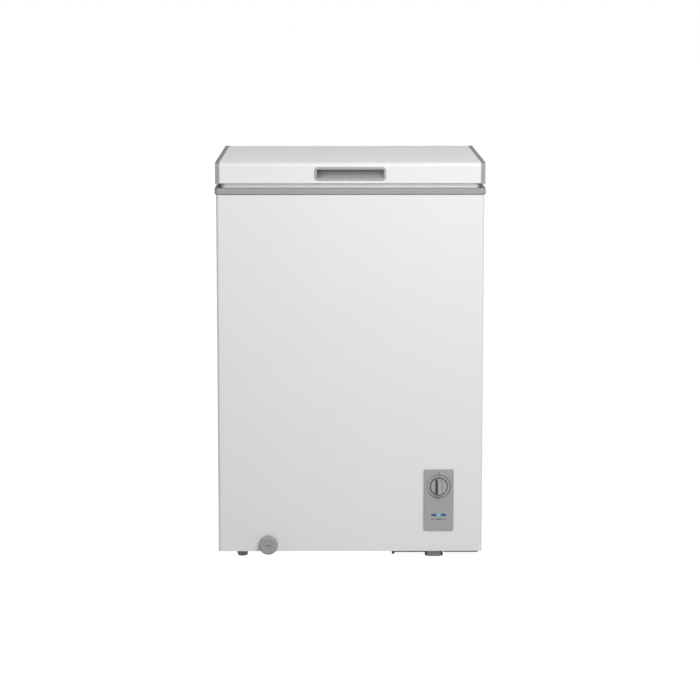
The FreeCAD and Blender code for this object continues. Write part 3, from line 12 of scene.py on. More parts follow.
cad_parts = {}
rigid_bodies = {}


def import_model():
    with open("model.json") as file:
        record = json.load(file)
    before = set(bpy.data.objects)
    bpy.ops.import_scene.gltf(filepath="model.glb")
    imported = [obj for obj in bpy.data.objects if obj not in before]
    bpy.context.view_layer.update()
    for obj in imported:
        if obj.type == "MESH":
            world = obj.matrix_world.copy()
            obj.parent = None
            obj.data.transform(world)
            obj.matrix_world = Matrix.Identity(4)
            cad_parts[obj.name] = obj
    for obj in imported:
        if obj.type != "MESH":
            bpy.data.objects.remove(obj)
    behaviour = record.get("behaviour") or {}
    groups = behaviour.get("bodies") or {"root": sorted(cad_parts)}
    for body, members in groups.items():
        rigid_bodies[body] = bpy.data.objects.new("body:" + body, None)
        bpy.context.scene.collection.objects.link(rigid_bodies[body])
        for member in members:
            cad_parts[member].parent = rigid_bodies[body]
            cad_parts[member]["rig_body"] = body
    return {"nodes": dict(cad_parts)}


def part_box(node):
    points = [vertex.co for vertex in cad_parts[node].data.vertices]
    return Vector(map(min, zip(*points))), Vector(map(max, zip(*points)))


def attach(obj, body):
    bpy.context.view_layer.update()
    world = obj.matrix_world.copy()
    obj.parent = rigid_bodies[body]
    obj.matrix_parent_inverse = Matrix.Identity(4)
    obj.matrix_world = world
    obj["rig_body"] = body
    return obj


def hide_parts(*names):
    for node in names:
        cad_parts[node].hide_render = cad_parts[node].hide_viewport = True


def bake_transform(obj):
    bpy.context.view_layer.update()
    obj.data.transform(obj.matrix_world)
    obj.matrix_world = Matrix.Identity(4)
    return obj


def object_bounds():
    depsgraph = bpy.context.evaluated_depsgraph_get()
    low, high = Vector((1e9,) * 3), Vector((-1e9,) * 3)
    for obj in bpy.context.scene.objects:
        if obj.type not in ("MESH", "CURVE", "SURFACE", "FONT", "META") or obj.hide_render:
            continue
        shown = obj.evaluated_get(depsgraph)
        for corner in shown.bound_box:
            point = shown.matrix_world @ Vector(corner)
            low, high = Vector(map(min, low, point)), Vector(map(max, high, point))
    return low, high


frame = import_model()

bl_info = {
    "name": "Chest freezer",
    "version": (1, 0, 0),
    "blender": (4, 5, 0),
    "location": "View3D > Sidebar > Freezer",
    "description": "Dresses the frame of a small chest freezer with its visible pieces and finishes",
    "category": "Object",
}

CAD_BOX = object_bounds()
# Faces at least this large, in square metres, are shaded flat where a node's own shape is rounded.
FLAT_AREA = 0.00006
FRONTWARD = Vector((0, -1, 0))


# ---------------------------------------------------------------- sizes and colours a user would change
def length(name, description, default):
    """A length property in metres."""
    return bpy.props.FloatProperty(
        name=name, description=description, default=default, min=0.0, precision=5, unit="LENGTH")


def count(name, description, default):
    """A whole-number property."""
    return bpy.props.IntProperty(name=name, description=description, default=default, min=1)


def colour(name, description, default):
    """A colour property."""
    return bpy.props.FloatVectorProperty(
        name=name, description=description, default=default, min=0.0, max=1.0, size=3, subtype="COLOR")


def share(name, description, default):
    """A plain number property."""
    return bpy.props.FloatProperty(name=name, description=description, default=default, min=0.0)


class FreezerSizes(bpy.types.PropertyGroup):
    """Sizes of the dressed pieces that the frame doesn't give."""

    sheet_edge: length("Sheet edge", "Rounding of a cut or folded sheet edge", 0.0003)
    fold_edge: length("Fold edge", "Rounding of a folded corner of painted sheet", 0.0006)
    moulded_edge: length("Moulded edge", "Rounding of a moulded plastic edge", 0.0006)
    rubber_edge: length("Rubber edge", "Rounding of a rubber foot or bush", 0.0008)
    seal_pleat: length("Seal pleat", "How far the seal's bellows fold in", 0.0009)
    bead_height: length("Bead height", "Height of the pressed beads in the lid's inner panel", 0.0016)
    skirt_round: length("Skirt rounding", "Rounding of the collar's lower outer edge", 0.0013)
    # Painted shade: a dark ring standing for the shadowed gap round the knob.
    knob_ring: length("Knob ring", "Width of the dark ring round the temperature knob", 0.0018)
    # Painted shade: a dark line standing for the shaded wall at the edge of the dish.
    dish_line: length("Dish line", "Width of the line at the edge of the knob's dish", 0.0009)
    tray_bolt: length("Tray bolt", "Head of the bolt at the front corner of the base tray", 0.0062)
    index_mark: length("Index mark", "Width of the start mark above the temperature knob", 0.0046)
    hood_depth: length("Hood depth", "How far a louvre hood stands out from the rear cover", 0.0032)
    weld_bead: length("Weld bead", "Radius of the weld bead round the compressor", 0.0016)
    recess_depth: length("Recess depth", "Depth of the cross recess in a screw's head", 0.0013)
    recess_edge: length("Recess edge", "Rounding of a screw head and its recess", 0.0001625)
    spring_wire: length("Spring wire", "Radius of the hinge spring's wire", 0.0009)
    spring_radius: length("Spring radius", "Mean radius of the hinge spring", 0.0062)
    spring_turns: count("Spring turns", "Working turns of the hinge spring", 8)


class FreezerColours(bpy.types.PropertyGroup):
    """Base colours of the finishes."""

    enamel: colour("Enamel", "Painted wrap and lid", (0.82, 0.82, 0.815))
    primer: colour("Primer", "Painted rear sheet", (0.56, 0.57, 0.58))
    trim: colour("Trim", "Moulded grey trim", (0.345, 0.345, 0.35))
    # Painted shade: the channels' upper faces take this colour because less light falls on them from above.
    cap_top: colour("Cap top", "Upper faces of the lid's end channels", (0.185, 0.185, 0.19))
    # Painted shade: the collar's downward faces take this colour to stand for the shadow under the skirt's
    # lip.
    skirt_under: colour("Skirt underside", "Faces of the top collar that look down", (0.075, 0.075, 0.08))
    panel: colour("Panel", "Silver-grey control panel", (0.325, 0.325, 0.33))
    knob: colour("Knob", "Satin knob", (0.345, 0.345, 0.34))
    pull: colour("Finger pull", "Moulded finger pull", (0.36, 0.36, 0.365))
    seal: colour("Seal", "Vinyl lid seal", (0.62, 0.62, 0.615))
    moulding: colour("White moulding", "White moulded plastic", (0.80, 0.80, 0.79))
    dark: colour("Dark moulding", "Dark moulded plastic", (0.045, 0.045, 0.05))
    rubber: colour("Foot rubber", "Moulded grey rubber", (0.26, 0.26, 0.265))
    # Paler rubber, lightened further as painted light to make up for the shadow under the cabinet.
    pad: colour("Pad rubber", "Paler rubber of the right feet's pads", (0.68, 0.68, 0.685))
    # A near-black plate, darker than bare zinc.
    tray: colour("Base tray", "Black zinc plate", (0.022, 0.022, 0.024))
    bush: colour("Bush rubber", "Moulded black rubber", (0.025, 0.025, 0.026))
    pot: colour("Compressor", "Black paint", (0.018, 0.018, 0.019))
    foam: colour("Foam", "Rigid insulating foam", (0.78, 0.66, 0.38))
    board: colour("Board", "Circuit board", (0.02, 0.16, 0.06))
    lamp: colour("Lit strip", "Middle of the indicator strip", (0.13, 0.42, 0.55))
    lamp_off: colour("Unlit strip", "Ends of the indicator strip", (0.004, 0.022, 0.085))
    # Also the colour of the painted shadow rings round the knob and of the painted shade strip on the knob.
    print_ink: colour("Print", "Printed marks", (0.032, 0.032, 0.035))
    coated_wire: colour("Coated wire", "Dipped basket wire", (0.84, 0.84, 0.83))


class FreezerStage(bpy.types.PropertyGroup):
    """Light and camera."""

    key_power: share("Key light", "Strength of the large light at the upper right", 40.5)
    fill_power: share("Fill light", "Strength of the light at the left", 1.5)
    room_light: share("Room light", "Strength of the even light from all round", 0.28)
    focal_length: share("Focal length", "Camera lens in millimetres", 127.98)


def sizes():
    """The scene's sizes."""
    return bpy.context.scene.freezer_sizes


def colours():
    """The scene's colours."""
    return bpy.context.scene.freezer_colours


# ---------------------------------------------------------------- shader trees
def feed(tree, socket, value):
    """Link a socket to an input, or set the input's value."""
    if isinstance(value, bpy.types.NodeSocket):
        tree.links.new(value, socket)
    else:
        socket.default_value = value


def node(tree, kind, settings=None, **inputs):
    """A shader node with its inputs fed; an input goes by its name, or by its number as i0, i1 and so on."""
    made = tree.nodes.new(kind)
    for name, value in (settings or {}).items():
        setattr(made, name, value)
    for name, value in inputs.items():
        numbered = name[0] == "i" and name[1:].isdigit()
        feed(tree, made.inputs[int(name[1:]) if numbered else name.replace("_", " ")], value)
    return made


def maths(tree, operation, first, second=0.0):
    """One step of arithmetic on masks."""
    return node(tree, "ShaderNodeMath", {"operation": operation}, i0=first, i1=second).outputs[0]


def times(tree, first, second):
    """The product of two masks."""
    return maths(tree, "MULTIPLY", first, second)


def plus(tree, first, second):
    """The sum of two masks."""
    return maths(tree, "ADD", first, second)


def minus(tree, first, second):
    """The first mask less the second."""
    return maths(tree, "SUBTRACT", first, second)


def ramp(tree, factor, start, end, low=0.0, high=1.0):
    """A mask eased between two values."""
    settings = {"interpolation_type": "SMOOTHSTEP"}
    return node(tree, "ShaderNodeMapRange", settings, i0=factor, i1=start, i2=end, i3=low, i4=high).outputs[0]


def noise(tree, vector, scale, detail=2.0, roughness=0.5):
    """The grey output of a noise at so many features a metre."""
    made = node(tree, "ShaderNodeTexNoise", Vector=vector, Scale=scale, Detail=detail, Roughness=roughness)
    return made.outputs[0]


def cells(tree, vector, scale, settings=None, **inputs):
    """The distance output of a cell pattern at so many cells a metre."""
    return node(tree, "ShaderNodeTexVoronoi", settings, Vector=vector, Scale=scale, **inputs).outputs[0]


def blend_colour(tree, factor, first, second, kind="MIX"):
    """Mix two colours by a mask."""
    settings = {"data_type": "RGBA", "blend_type": kind}
    return node(tree, "ShaderNodeMix", settings, i0=factor, i6=first, i7=second).outputs[2]


def grey(tree, level):
    """A grey of the mask's level."""
    return node(tree, "ShaderNodeCombineColor", i0=level, i1=level, i2=level).outputs[0]


def place_in(tree):
    """The place on the piece, in metres."""
    return node(tree, "ShaderNodeTexCoord").outputs["Object"]


def axes(tree, vector):
    """The three parts of a vector."""
    return node(tree, "ShaderNodeSeparateXYZ", Vector=vector).outputs


def upward_share(tree):
    """How far a face of the closed object looks up, from -1 to 1."""
    return axes(tree, node(tree, "ShaderNodeTexCoord").outputs["Normal"])[2]


def new_group(name, inputs, *outputs):
    """An empty shader group with named inputs and outputs, and the sockets of its two ends."""
    group = bpy.data.node_groups.new(name, "ShaderNodeTree")
    for label, default in inputs.items():
        kind = "NodeSocketColor" if isinstance(default, tuple) else "NodeSocketFloat"
        socket = group.interface.new_socket(name=label, in_out="INPUT", socket_type=kind)
        socket.default_value = default
    for label in outputs:
        kind = "NodeSocketColor" if label == "Colour" else "NodeSocketFloat"
        group.interface.new_socket(name=label, in_out="OUTPUT", socket_type=kind)
    into, out = group.nodes.new("NodeGroupInput"), group.nodes.new("NodeGroupOutput")
    return group, into.outputs[:len(inputs)], out.inputs[:len(outputs)]


def made_once(build):
    """Build a group the first time it is asked for."""
    name = build.__name__.replace("_", " ").capitalize()
    return bpy.data.node_groups.get(name) or build(name)


def effect(tree, build, **inputs):
    """Place a shared effect in a material with its own values."""
    return node(tree, "ShaderNodeGroup", {"node_tree": made_once(build)}, **inputs).outputs


MID_GREY = (0.5, 0.5, 0.5, 1.0)


# ---------------------------------------------------------------- effects that several finishes share
def orange_peel(name):
    """The faint dimpling of baked enamel over the slow waviness of thin sheet."""
    inputs = {"Dimples": 420.0, "Waves": 9.0, "Share of waves": 0.5}
    group, (dimple_scale, wave_scale, wave_share), (height,) = new_group(name, inputs, "Height")
    at = place_in(group)
    dimples = noise(group, at, dimple_scale, 1.0, 0.4)
    waves = noise(group, at, wave_scale, 0.0)
    feed(group, height, plus(group, dimples, times(group, waves, wave_share)))
    return group


def fine_grain(name):
    """The grain of a textured mould, with evenly spread patches for a painted glint."""
    inputs = {"Grains": 1500.0, "Softness": 0.35}
    group, (scale, softness), (height, mask) = new_group(name, inputs, "Height", "Mask")
    at = place_in(group)
    grains = cells(group, at, scale, {"feature": "SMOOTH_F1"}, Smoothness=softness)
    patches = noise(group, at, scale, 3.0, 0.6)
    feed(group, height, plus(group, grains, times(group, patches, 0.5)))
    # Patches where a painted glint is laid into the colour.
    feed(group, mask, ramp(group, patches, 0.35, 0.65))
    return group


def colour_drift(name):
    """Slow and fine variation of a colour."""
    inputs = {"Colour": MID_GREY, "Amount": 0.05, "Scale": 12.0}
    group, (base, amount, scale), (drifted,) = new_group(name, inputs, "Colour")
    at = place_in(group)
    slow = noise(group, at, scale)
    fine = noise(group, at, times(group, scale, 23.0), 2.0, 0.6)
    both = plus(group, times(group, slow, 0.7), times(group, fine, 0.3))
    centred = times(group, minus(group, both, 0.5), amount)
    level = plus(group, times(group, centred, 2.0), 1.0)
    feed(group, drifted, blend_colour(group, 1.0, base, grey(group, level), "MULTIPLY"))
    return group


def handling_marks(name):
    """Roughness that drifts where a surface has been wiped and touched."""
    inputs = {"Roughness": 0.4, "Amount": 0.08, "Scale": 14.0}
    group, (roughness, amount, scale), (marked,) = new_group(name, inputs, "Roughness")
    at = place_in(group)
    patches = ramp(group, noise(group, at, scale, 4.0, 0.62), 0.38, 0.68)
    flattened = node(group, "ShaderNodeMapping", Vector=at, Scale=(1.0, 1.0, 7.0)).outputs[0]
    streaks = noise(group, flattened, times(group, scale, 3.0), 3.0, 0.6)
    both = plus(group, times(group, patches, 0.6), times(group, streaks, 0.4))
    shift = times(group, minus(group, both, 0.4), amount)
    feed(group, marked, plus(group, roughness, shift))
    return group


def settled_dust(name):
    """Pale dust on faces that look up and near the floor."""
    inputs = {"Colour": MID_GREY, "Dust": (0.42, 0.40, 0.37, 1.0), "Amount": 0.2, "Low edge": 0.0,
              "Reach": 0.12}
    group, into, (dusted, covered) = new_group(name, inputs, "Colour", "Mask")
    base, dust, amount, low_edge, reach = into
    at = place_in(group)
    above = maths(group, "DIVIDE", minus(group, axes(group, at)[2], low_edge), reach)
    lowness = minus(group, 1.0, ramp(group, above, 0.0, 1.0))
    upward = ramp(group, upward_share(group), 0.2, 0.95, 0.0, 0.6)
    cloud = ramp(group, noise(group, at, 60.0, 5.0, 0.65), 0.40, 0.75)
    thick = times(group, times(group, plus(group, lowness, upward), cloud), amount)
    mask = maths(group, "MINIMUM", thick, 1.0)
    feed(group, dusted, blend_colour(group, mask, base, dust))
    feed(group, covered, mask)
    return group


def drawn_lines(name):
    """Fine lines left by rolling or drawing, along one direction of the piece."""
    inputs = {"Lines": 900.0, "Along X": 0.02, "Along Y": 1.0, "Along Z": 1.0}
    group, (scale, along_x, along_y, along_z), (height, mask) = new_group(name, inputs, "Height", "Mask")
    stretch = node(group, "ShaderNodeCombineXYZ", i0=along_x, i1=along_y, i2=along_z).outputs[0]
    stretched = node(group, "ShaderNodeMapping", Vector=place_in(group), Scale=stretch).outputs[0]
    lines = noise(group, stretched, scale, 4.0, 0.65)
    feed(group, height, lines)
    feed(group, mask, ramp(group, lines, 0.35, 0.65))
    return group


# ---------------------------------------------------------------- finishes
def rgba(value):
    """A colour, or the colour property of that name, with full alpha."""
    red, green, blue = getattr(colours(), value) if isinstance(value, str) else value
    return (red, green, blue, 1.0)


class Finish:
    """A material in the making: its Principled shader and its tree."""

    def __init__(self, name, **plain):
        self.material = bpy.data.materials.new(name)
        self.material.use_nodes = True
        self.tree = self.material.node_tree
        self.shader = next(n for n in self.tree.nodes if n.type == "BSDF_PRINCIPLED")
        for label, value in plain.items():
            self.shader.inputs[label.replace("_", " ")].default_value = value

    def link(self, label, socket):
        """Feed one of the shader's inputs."""
        self.tree.links.new(socket, self.shader.inputs[label])

    def relief(self, height, strength, distance):
        """Bump from a height."""
        bump = node(self.tree, "ShaderNodeBump", Height=height, Strength=strength, Distance=distance)
        self.link("Normal", bump.outputs[0])

    def drift(self, base, amount, scale):
        """The base colour with its slow and fine variation."""
        return effect(self.tree, colour_drift, Colour=rgba(base), Amount=amount, Scale=scale)[0]

    def marks(self, roughness, amount, scale):
        """Roughness with the marks of handling."""
        marked = effect(self.tree, handling_marks, Roughness=roughness, Amount=amount, Scale=scale)
        self.link("Roughness", marked[0])


def painted(name, base, roughness, dimples, dust):
    """Baked enamel on sheet steel."""
    made = Finish(name, Coat_Weight=0.06, Coat_Roughness=0.2, IOR=1.45)
    drifted = made.drift(base, 0.012, 5.0)
    made.link("Base Color", effect(made.tree, settled_dust, Colour=drifted, Amount=dust, Low_edge=0.02)[0])
    made.marks(roughness, 0.10, 7.0)
    made.relief(effect(made.tree, orange_peel, Dimples=dimples)[0], 0.25, 0.0001)
    return made.material


def cup_tone(tree):
    """Painted shade and light of the finger pull: painted shade at the top and left of its cup, painted light
    at its foot and right.

    Each ramp runs between two distances from the pull's front, foot, left or right, in metres.
    """
    low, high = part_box("handle_recess")
    x, y, z = axes(tree, place_in(tree))
    inside = ramp(tree, y, low.y + 0.002, low.y + 0.006)
    # Painted light towards the cup's foot, painted shade towards its top.
    foot = ramp(tree, z, low.z + 0.004, low.z + 0.017, 1.55, 0.85)
    # Painted shade at the cup's left, painted light at its right.
    left = ramp(tree, x, low.x + 0.004, low.x + 0.022, 0.55, 1.0)
    right = ramp(tree, x, high.x - 0.022, high.x - 0.006, 1.0, 1.5)
    cup = times(tree, foot, times(tree, left, right))
    return grey(tree, plus(tree, 1.0, times(tree, inside, minus(tree, cup, 1.0))))


def moulded(name, base, roughness, grains=1400.0, relief=0.25, amount=0.035,
            darker=None, toned=None, **plain):
    """Plastic from a finely textured mould, with a painted glint; painted shade may lie on faces that look up
    or down.

    darker is the colour of that painted shade, and how far up a face must look for it to start and to be
    full; both are below 0 for faces that look down. toned builds the painted shade and light that the
    colour is multiplied by.
    """
    made = Finish(name, IOR=1.48, **plain)
    tree = made.tree
    grain, painted_glint = effect(tree, fine_grain, Grains=grains)
    drifted = made.drift(base, amount, 30.0)
    # Painted shade from how the light falls: faces that look up take the deeper colour; with values below 0,
    # faces that look down take it.
    if darker:
        tone, start, full = darker
        facing = times(tree, upward_share(tree), math.copysign(1.0, full))
        drifted = blend_colour(tree, ramp(tree, facing, abs(start), abs(full)), drifted, rgba(tone))
    # Painted shade and painted light multiplied into the colour.
    if toned:
        drifted = blend_colour(tree, 1.0, drifted, toned(tree), "MULTIPLY")
    # Painted glint: pale patches blended into the colour.
    made.link("Base Color", blend_colour(tree, times(tree, painted_glint, 0.10), drifted, (0.9, 0.9, 0.9, 1.0)))
    made.marks(roughness, 0.10, 22.0)
    made.relief(grain, relief, 0.00006)
    return made.material


def rubbery(name, base, roughness):
    """Moulded rubber or vinyl with a soft bloom."""
    made = Finish(name, IOR=1.5, Sheen_Weight=0.15, Sheen_Roughness=0.5)
    grain = effect(made.tree, fine_grain, Grains=900.0, Softness=0.6)[0]
    drifted = made.drift(base, 0.08, 45.0)
    made.link("Base Color", effect(made.tree, settled_dust, Colour=drifted, Amount=0.35)[0])
    made.marks(roughness, 0.14, 40.0)
    made.relief(grain, 0.3, 0.00008)
    return made.material


def plated(name, base, roughness, spangle=0.0):
    """Bare or plated metal with rolling lines and, on hot-dipped sheet, so many crystals a metre."""
    made = Finish(name, Metallic=1.0)
    tree = made.tree
    lines, worn = effect(tree, drawn_lines, Along_X=0.03)
    drifted = made.drift(base, 0.06, 26.0)
    shaded = blend_colour(tree, times(tree, worn, 0.16), drifted, (0.30, 0.30, 0.31, 1.0))
    level = roughness
    if spangle:
        crystals = node(tree, "ShaderNodeTexVoronoi", Vector=place_in(tree), Scale=spangle).outputs["Color"]
        facet = node(tree, "ShaderNodeSeparateColor", Color=crystals).outputs[0]
        shaded = blend_colour(tree, times(tree, facet, 0.22), shaded, (0.34, 0.35, 0.37, 1.0))
        level = plus(tree, roughness, times(tree, facet, 0.16))
    made.link("Base Color", shaded)
    made.marks(level, 0.16, 30.0)
    made.relief(lines, 0.12, 0.00004)
    return made.material


def stucco_sheet(name):
    """Aluminium sheet embossed with an irregular pebble pattern."""
    made = Finish(name, Metallic=1.0)
    tree = made.tree
    at = place_in(tree)
    swirl = node(tree, "ShaderNodeTexNoise", Vector=at, Scale=130.0, Detail=2.0).outputs["Color"]
    push = node(tree, "ShaderNodeVectorMath", {"operation": "SCALE"}, i0=swirl, Scale=0.004).outputs[0]
    pushed = node(tree, "ShaderNodeVectorMath", {"operation": "ADD"}, i0=at, i1=push).outputs[0]
    pebbles = ramp(tree, cells(tree, pushed, 190.0, {"feature": "SMOOTH_F1"}, Smoothness=0.5), 0.10, 0.62)
    sheet = made.drift((0.83, 0.84, 0.85), 0.04, 9.0)
    made.link("Base Color", blend_colour(tree, times(tree, pebbles, 0.30), sheet, (0.50, 0.51, 0.53, 1.0)))
    made.marks(0.30, 0.14, 12.0)
    made.relief(pebbles, 0.55, 0.0006)
    return made.material


def foamed(name, base):
    """Rigid foam with small closed cells and a few larger voids."""
    made = Finish(name, Roughness=0.9, IOR=1.3)
    tree = made.tree
    at = place_in(tree)
    closed = cells(tree, at, 900.0)
    voids = ramp(tree, cells(tree, at, 110.0), 0.05, 0.20)
    body = made.drift(base, 0.10, 20.0)
    made.link("Base Color", blend_colour(tree, times(tree, closed, 0.5), body, (0.62, 0.46, 0.20, 1.0)))
    made.relief(plus(tree, closed, voids), 0.6, 0.0005)
    return made.material


def indicator_strip(name):
    """Tinted strip whose middle third is lit from behind."""
    made = Finish(
        name, Roughness=0.16, IOR=1.49, Coat_Weight=0.5, Coat_Roughness=0.08, Emission_Strength=0.35)
    tree = made.tree
    at = place_in(tree)
    low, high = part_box("indicator_lens")
    off = maths(tree, "ABSOLUTE", minus(tree, axes(tree, at)[0], (low.x + high.x) / 2))
    glow = minus(tree, 1.0, ramp(tree, off, 0.0008, 0.0075))
    ripple = noise(tree, at, 700.0)
    lit = times(tree, glow, plus(tree, 0.85, times(tree, ripple, 0.3)))
    made.link("Base Color", blend_colour(tree, lit, rgba("lamp_off"), rgba("lamp")))
    made.link("Emission Color", blend_colour(tree, lit, (0.0, 0.01, 0.05, 1.0), rgba("lamp")))
    made.relief(ripple, 0.15, 0.00005)
    return made.material


def board_laminate(name, base):
    """Green laminate with paler tracks."""
    made = Finish(name, Coat_Weight=0.4, Coat_Roughness=0.15)
    tree = made.tree
    tracks = ramp(tree, cells(tree, place_in(tree), 420.0, {"distance": "CHEBYCHEV"}), 0.40, 0.46)
    laminate = made.drift(base, 0.1, 60.0)
    made.link("Base Color", blend_colour(tree, tracks, laminate, (0.05, 0.30, 0.12, 1.0)))
    made.marks(0.4, 0.1, 40.0)
    made.relief(tracks, 0.3, 0.00005)
    return made.material


def copper(name):
    """Drawn copper with a brown bloom."""
    made = Finish(name, Metallic=1.0)
    tree = made.tree
    bloom = ramp(tree, noise(tree, place_in(tree), 55.0, 4.0, 0.65), 0.40, 0.70)
    made.link("Base Color", blend_colour(tree, bloom, (0.86, 0.46, 0.28, 1.0), (0.42, 0.20, 0.11, 1.0)))
    made.marks(0.28, 0.25, 60.0)
    made.relief(effect(tree, drawn_lines, Along_X=0.2, Along_Y=0.2, Along_Z=0.2)[0], 0.1, 0.00004)
    return made.material


# A moulding that shines less than plain plastic.
MATT = {"Specular_IOR_Level": 0.2}

# The record's slots and the looks kept apart from them: the maker, its values in order and its named values.
FINISHES = {
    "white_enamel": (painted, ("enamel", 0.36, 430.0, 0.05), {}),
    "grey_steel": (painted, ("primer", 0.45, 700.0, 0.30), {}),
    "black_enamel": (painted, ("pot", 0.30, 300.0, 0.30), {}),
    "zinc_steel": (plated, ((0.62, 0.63, 0.65), 0.34, 140.0), {}),
    "bare_aluminium": (plated, ((0.80, 0.81, 0.82), 0.30), {}),
    "spring_steel": (plated, ((0.40, 0.40, 0.41), 0.28), {}),
    # Near-black plated metal of the base tray, its lip, its bolt and the base screws.
    "black_zinc": (plated, ("tray", 0.42), {}),
    "stucco_aluminium": (stucco_sheet, (), {}),
    "copper_tube": (copper, (), {}),
    "grey_plastic": (moulded, ("trim", 0.52), MATT),
    # The end channels: painted shade on their upper faces.
    "cap_plastic": (moulded, ("trim", 0.52), {"darker": ("cap_top", 0.55, 0.9)} | MATT),
    # The top collar: painted shade on its faces that look down.
    "collar_plastic": (moulded, ("trim", 0.52), {"darker": ("skirt_under", -0.05, -0.45)} | MATT),
    "panel_plastic": (moulded, ("panel", 0.38, 2200.0, 0.2), {"Metallic": 0.15}),
    "knob_plastic": (moulded, ("knob", 0.30, 2600.0, 0.12), {"Metallic": 0.2}),
    "dark_plastic": (moulded, ("dark", 0.50, 1000.0, 0.4, 0.08), {}),
    # The finger pull: painted shade and painted light in its cup.
    "handle_plastic": (moulded, ("pull", 0.34, 1800.0, 0.15), {"toned": cup_tone}),
    "white_plastic": (moulded, ("moulding", 0.38, 900.0, 0.12, 0.015), {}),
    "white_wire": (moulded, ("coated_wire", 0.22, 500.0, 0.12, 0.02), {"Coat_Weight": 0.4}),
    # Printed marks, and the painted shade of the knob's rings and groove.
    "print_ink": (moulded, ("print_ink", 0.5, 3000.0, 0.05), {}),
    "seal_vinyl": (rubbery, ("seal", 0.52), {}),
    "magnet": (rubbery, ((0.05, 0.04, 0.035), 0.7), {}),
    "black_rubber": (rubbery, ("bush", 0.62), {}),
    "grey_rubber": (rubbery, ("rubber", 0.60), {}),
    # Paler rubber of the right pads, lightened further as painted light.
    "pad_rubber": (rubbery, ("pad", 0.60), {}),
    "rigid_foam": (foamed, ("foam",), {}),
    "indicator_glass": (indicator_strip, (), {}),
    "circuit_board": (board_laminate, ("board",), {}),
}


def finish(look):
    """The material of one of the finishes, made when first asked for."""
    name = look + "_finish"
    maker, values, named = FINISHES[look]
    return bpy.data.materials.get(name) or maker(name, *values, **named)


# ---------------------------------------------------------------- mesh tools
def added(name, data):
    """A new object of the scene."""
    made = bpy.data.objects.new(name, data)
    bpy.context.scene.collection.objects.link(made)
    return made


def settle(name, mesh, body, slot, stands_for=(), look=None):
    """Add a mesh as a piece on its body, with its finish and the nodes it stands for."""
    piece = added(name, mesh)
    mesh.materials.clear()
    mesh.materials.append(finish(look or slot))
    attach(piece, body)
    if stands_for:
        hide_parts(*stands_for)
    return piece


def mesh_from(work, name, flat_area=1.0, split=False):
    """Turn a bmesh into a mesh, with consistent normals; faces over an area in square metres stay flat.

    Faces that wrap round an opening can be split, so that their edges can be rounded.
    """
    bmesh.ops.recalc_face_normals(work, faces=work.faces)
    for face in work.faces:
        face.smooth = face.calc_area() < flat_area
    if split:
        bmesh.ops.triangulate(work, faces=[face for face in work.faces if len(face.verts) > 4])
    mesh = bpy.data.meshes.new(name)
    work.to_mesh(mesh)
    work.free()
    return mesh


def welded(cad_node):
    """A bmesh copy of a node with its faces joined and flat areas merged."""
    work = bmesh.new()
    work.from_mesh(frame["nodes"][cad_node].data)
    bmesh.ops.remove_doubles(work, verts=work.verts, dist=3e-6)
    bmesh.ops.dissolve_limit(work, angle_limit=math.radians(0.6), use_dissolve_boundaries=False,
                             verts=work.verts, edges=work.edges)
    return work


def rounded_edges(piece, width, segments=2, angle=32.0):
    """Round a piece's sharp edges."""
    bevel = piece.modifiers.new("rounded edges", "BEVEL")
    bevel.width = width
    bevel.segments = segments
    bevel.limit_method = "ANGLE"
    bevel.angle_limit = math.radians(angle)
    bevel.harden_normals = True
    bevel.use_clamp_overlap = False


def softened(cad_node, slot, name, edge="sheet_edge", segments=2, look=None, split=False, shaped=None):
    """A node's own shape with rounded edges, standing for it.

    edge names the size of the rounding, and shaped may work on the mesh before that.
    """
    work = welded(cad_node)
    if shaped:
        shaped(work)
    mesh = mesh_from(work, name, FLAT_AREA, split)
    body = frame["nodes"][cad_node]["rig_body"]
    piece = settle(name, mesh, body, slot, (cad_node,), look)
    rounded_edges(piece, getattr(sizes(), edge), segments)


def kept(slot, *cad_nodes):
    """Nodes that keep their own mesh get the finish."""
    for cad_node in cad_nodes:
        shape = frame["nodes"][cad_node]
        shape.data.materials.clear()
        shape.data.materials.append(finish(slot))


def boxed(cad_node):
    """A node's low and high corners and its middle."""
    low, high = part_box(cad_node)
    return low, high, (low + high) / 2


def joined(work, loops, closed=True):
    """Faces from each loop of points to the next; loops that aren't closed are rows."""
    for first, second in zip(loops, loops[1:]):
        for i in range(0 if closed else 1, len(first)):
            work.faces.new((first[i - 1], first[i], second[i], second[i - 1]))


def drawn(work, section, ends, place):
    """Draw a closed section between two ends; place gives the point of an end and a corner."""
    loops = [[work.verts.new(place(end, *corner)) for corner in section] for end in ends]
    joined(work, loops)
    work.faces.new(loops[0])
    work.faces.new(loops[1][::-1])


def turned_under(work, width):
    """Round the outer edges of the underside."""
    outside = [v.co for v in work.verts]
    low = Vector(min(c[axis] for c in outside) for axis in range(3))
    high = Vector(max(c[axis] for c in outside) for axis in range(3))

    def is_outer(edge):
        """Both ends at the bottom, and the middle near the outline."""
        middle = (edge.verts[0].co + edge.verts[1].co) / 2
        level = all(abs(v.co.z - low.z) < 1e-5 for v in edge.verts)
        inset = min(middle.x - low.x, high.x - middle.x, middle.y - low.y, high.y - middle.y)
        return level and inset < width

    edges = [edge for edge in work.edges if is_outer(edge)]
    bmesh.ops.bevel(
        work, geom=edges, offset=width, offset_type="OFFSET", segments=4, profile=0.5, affect="EDGES")


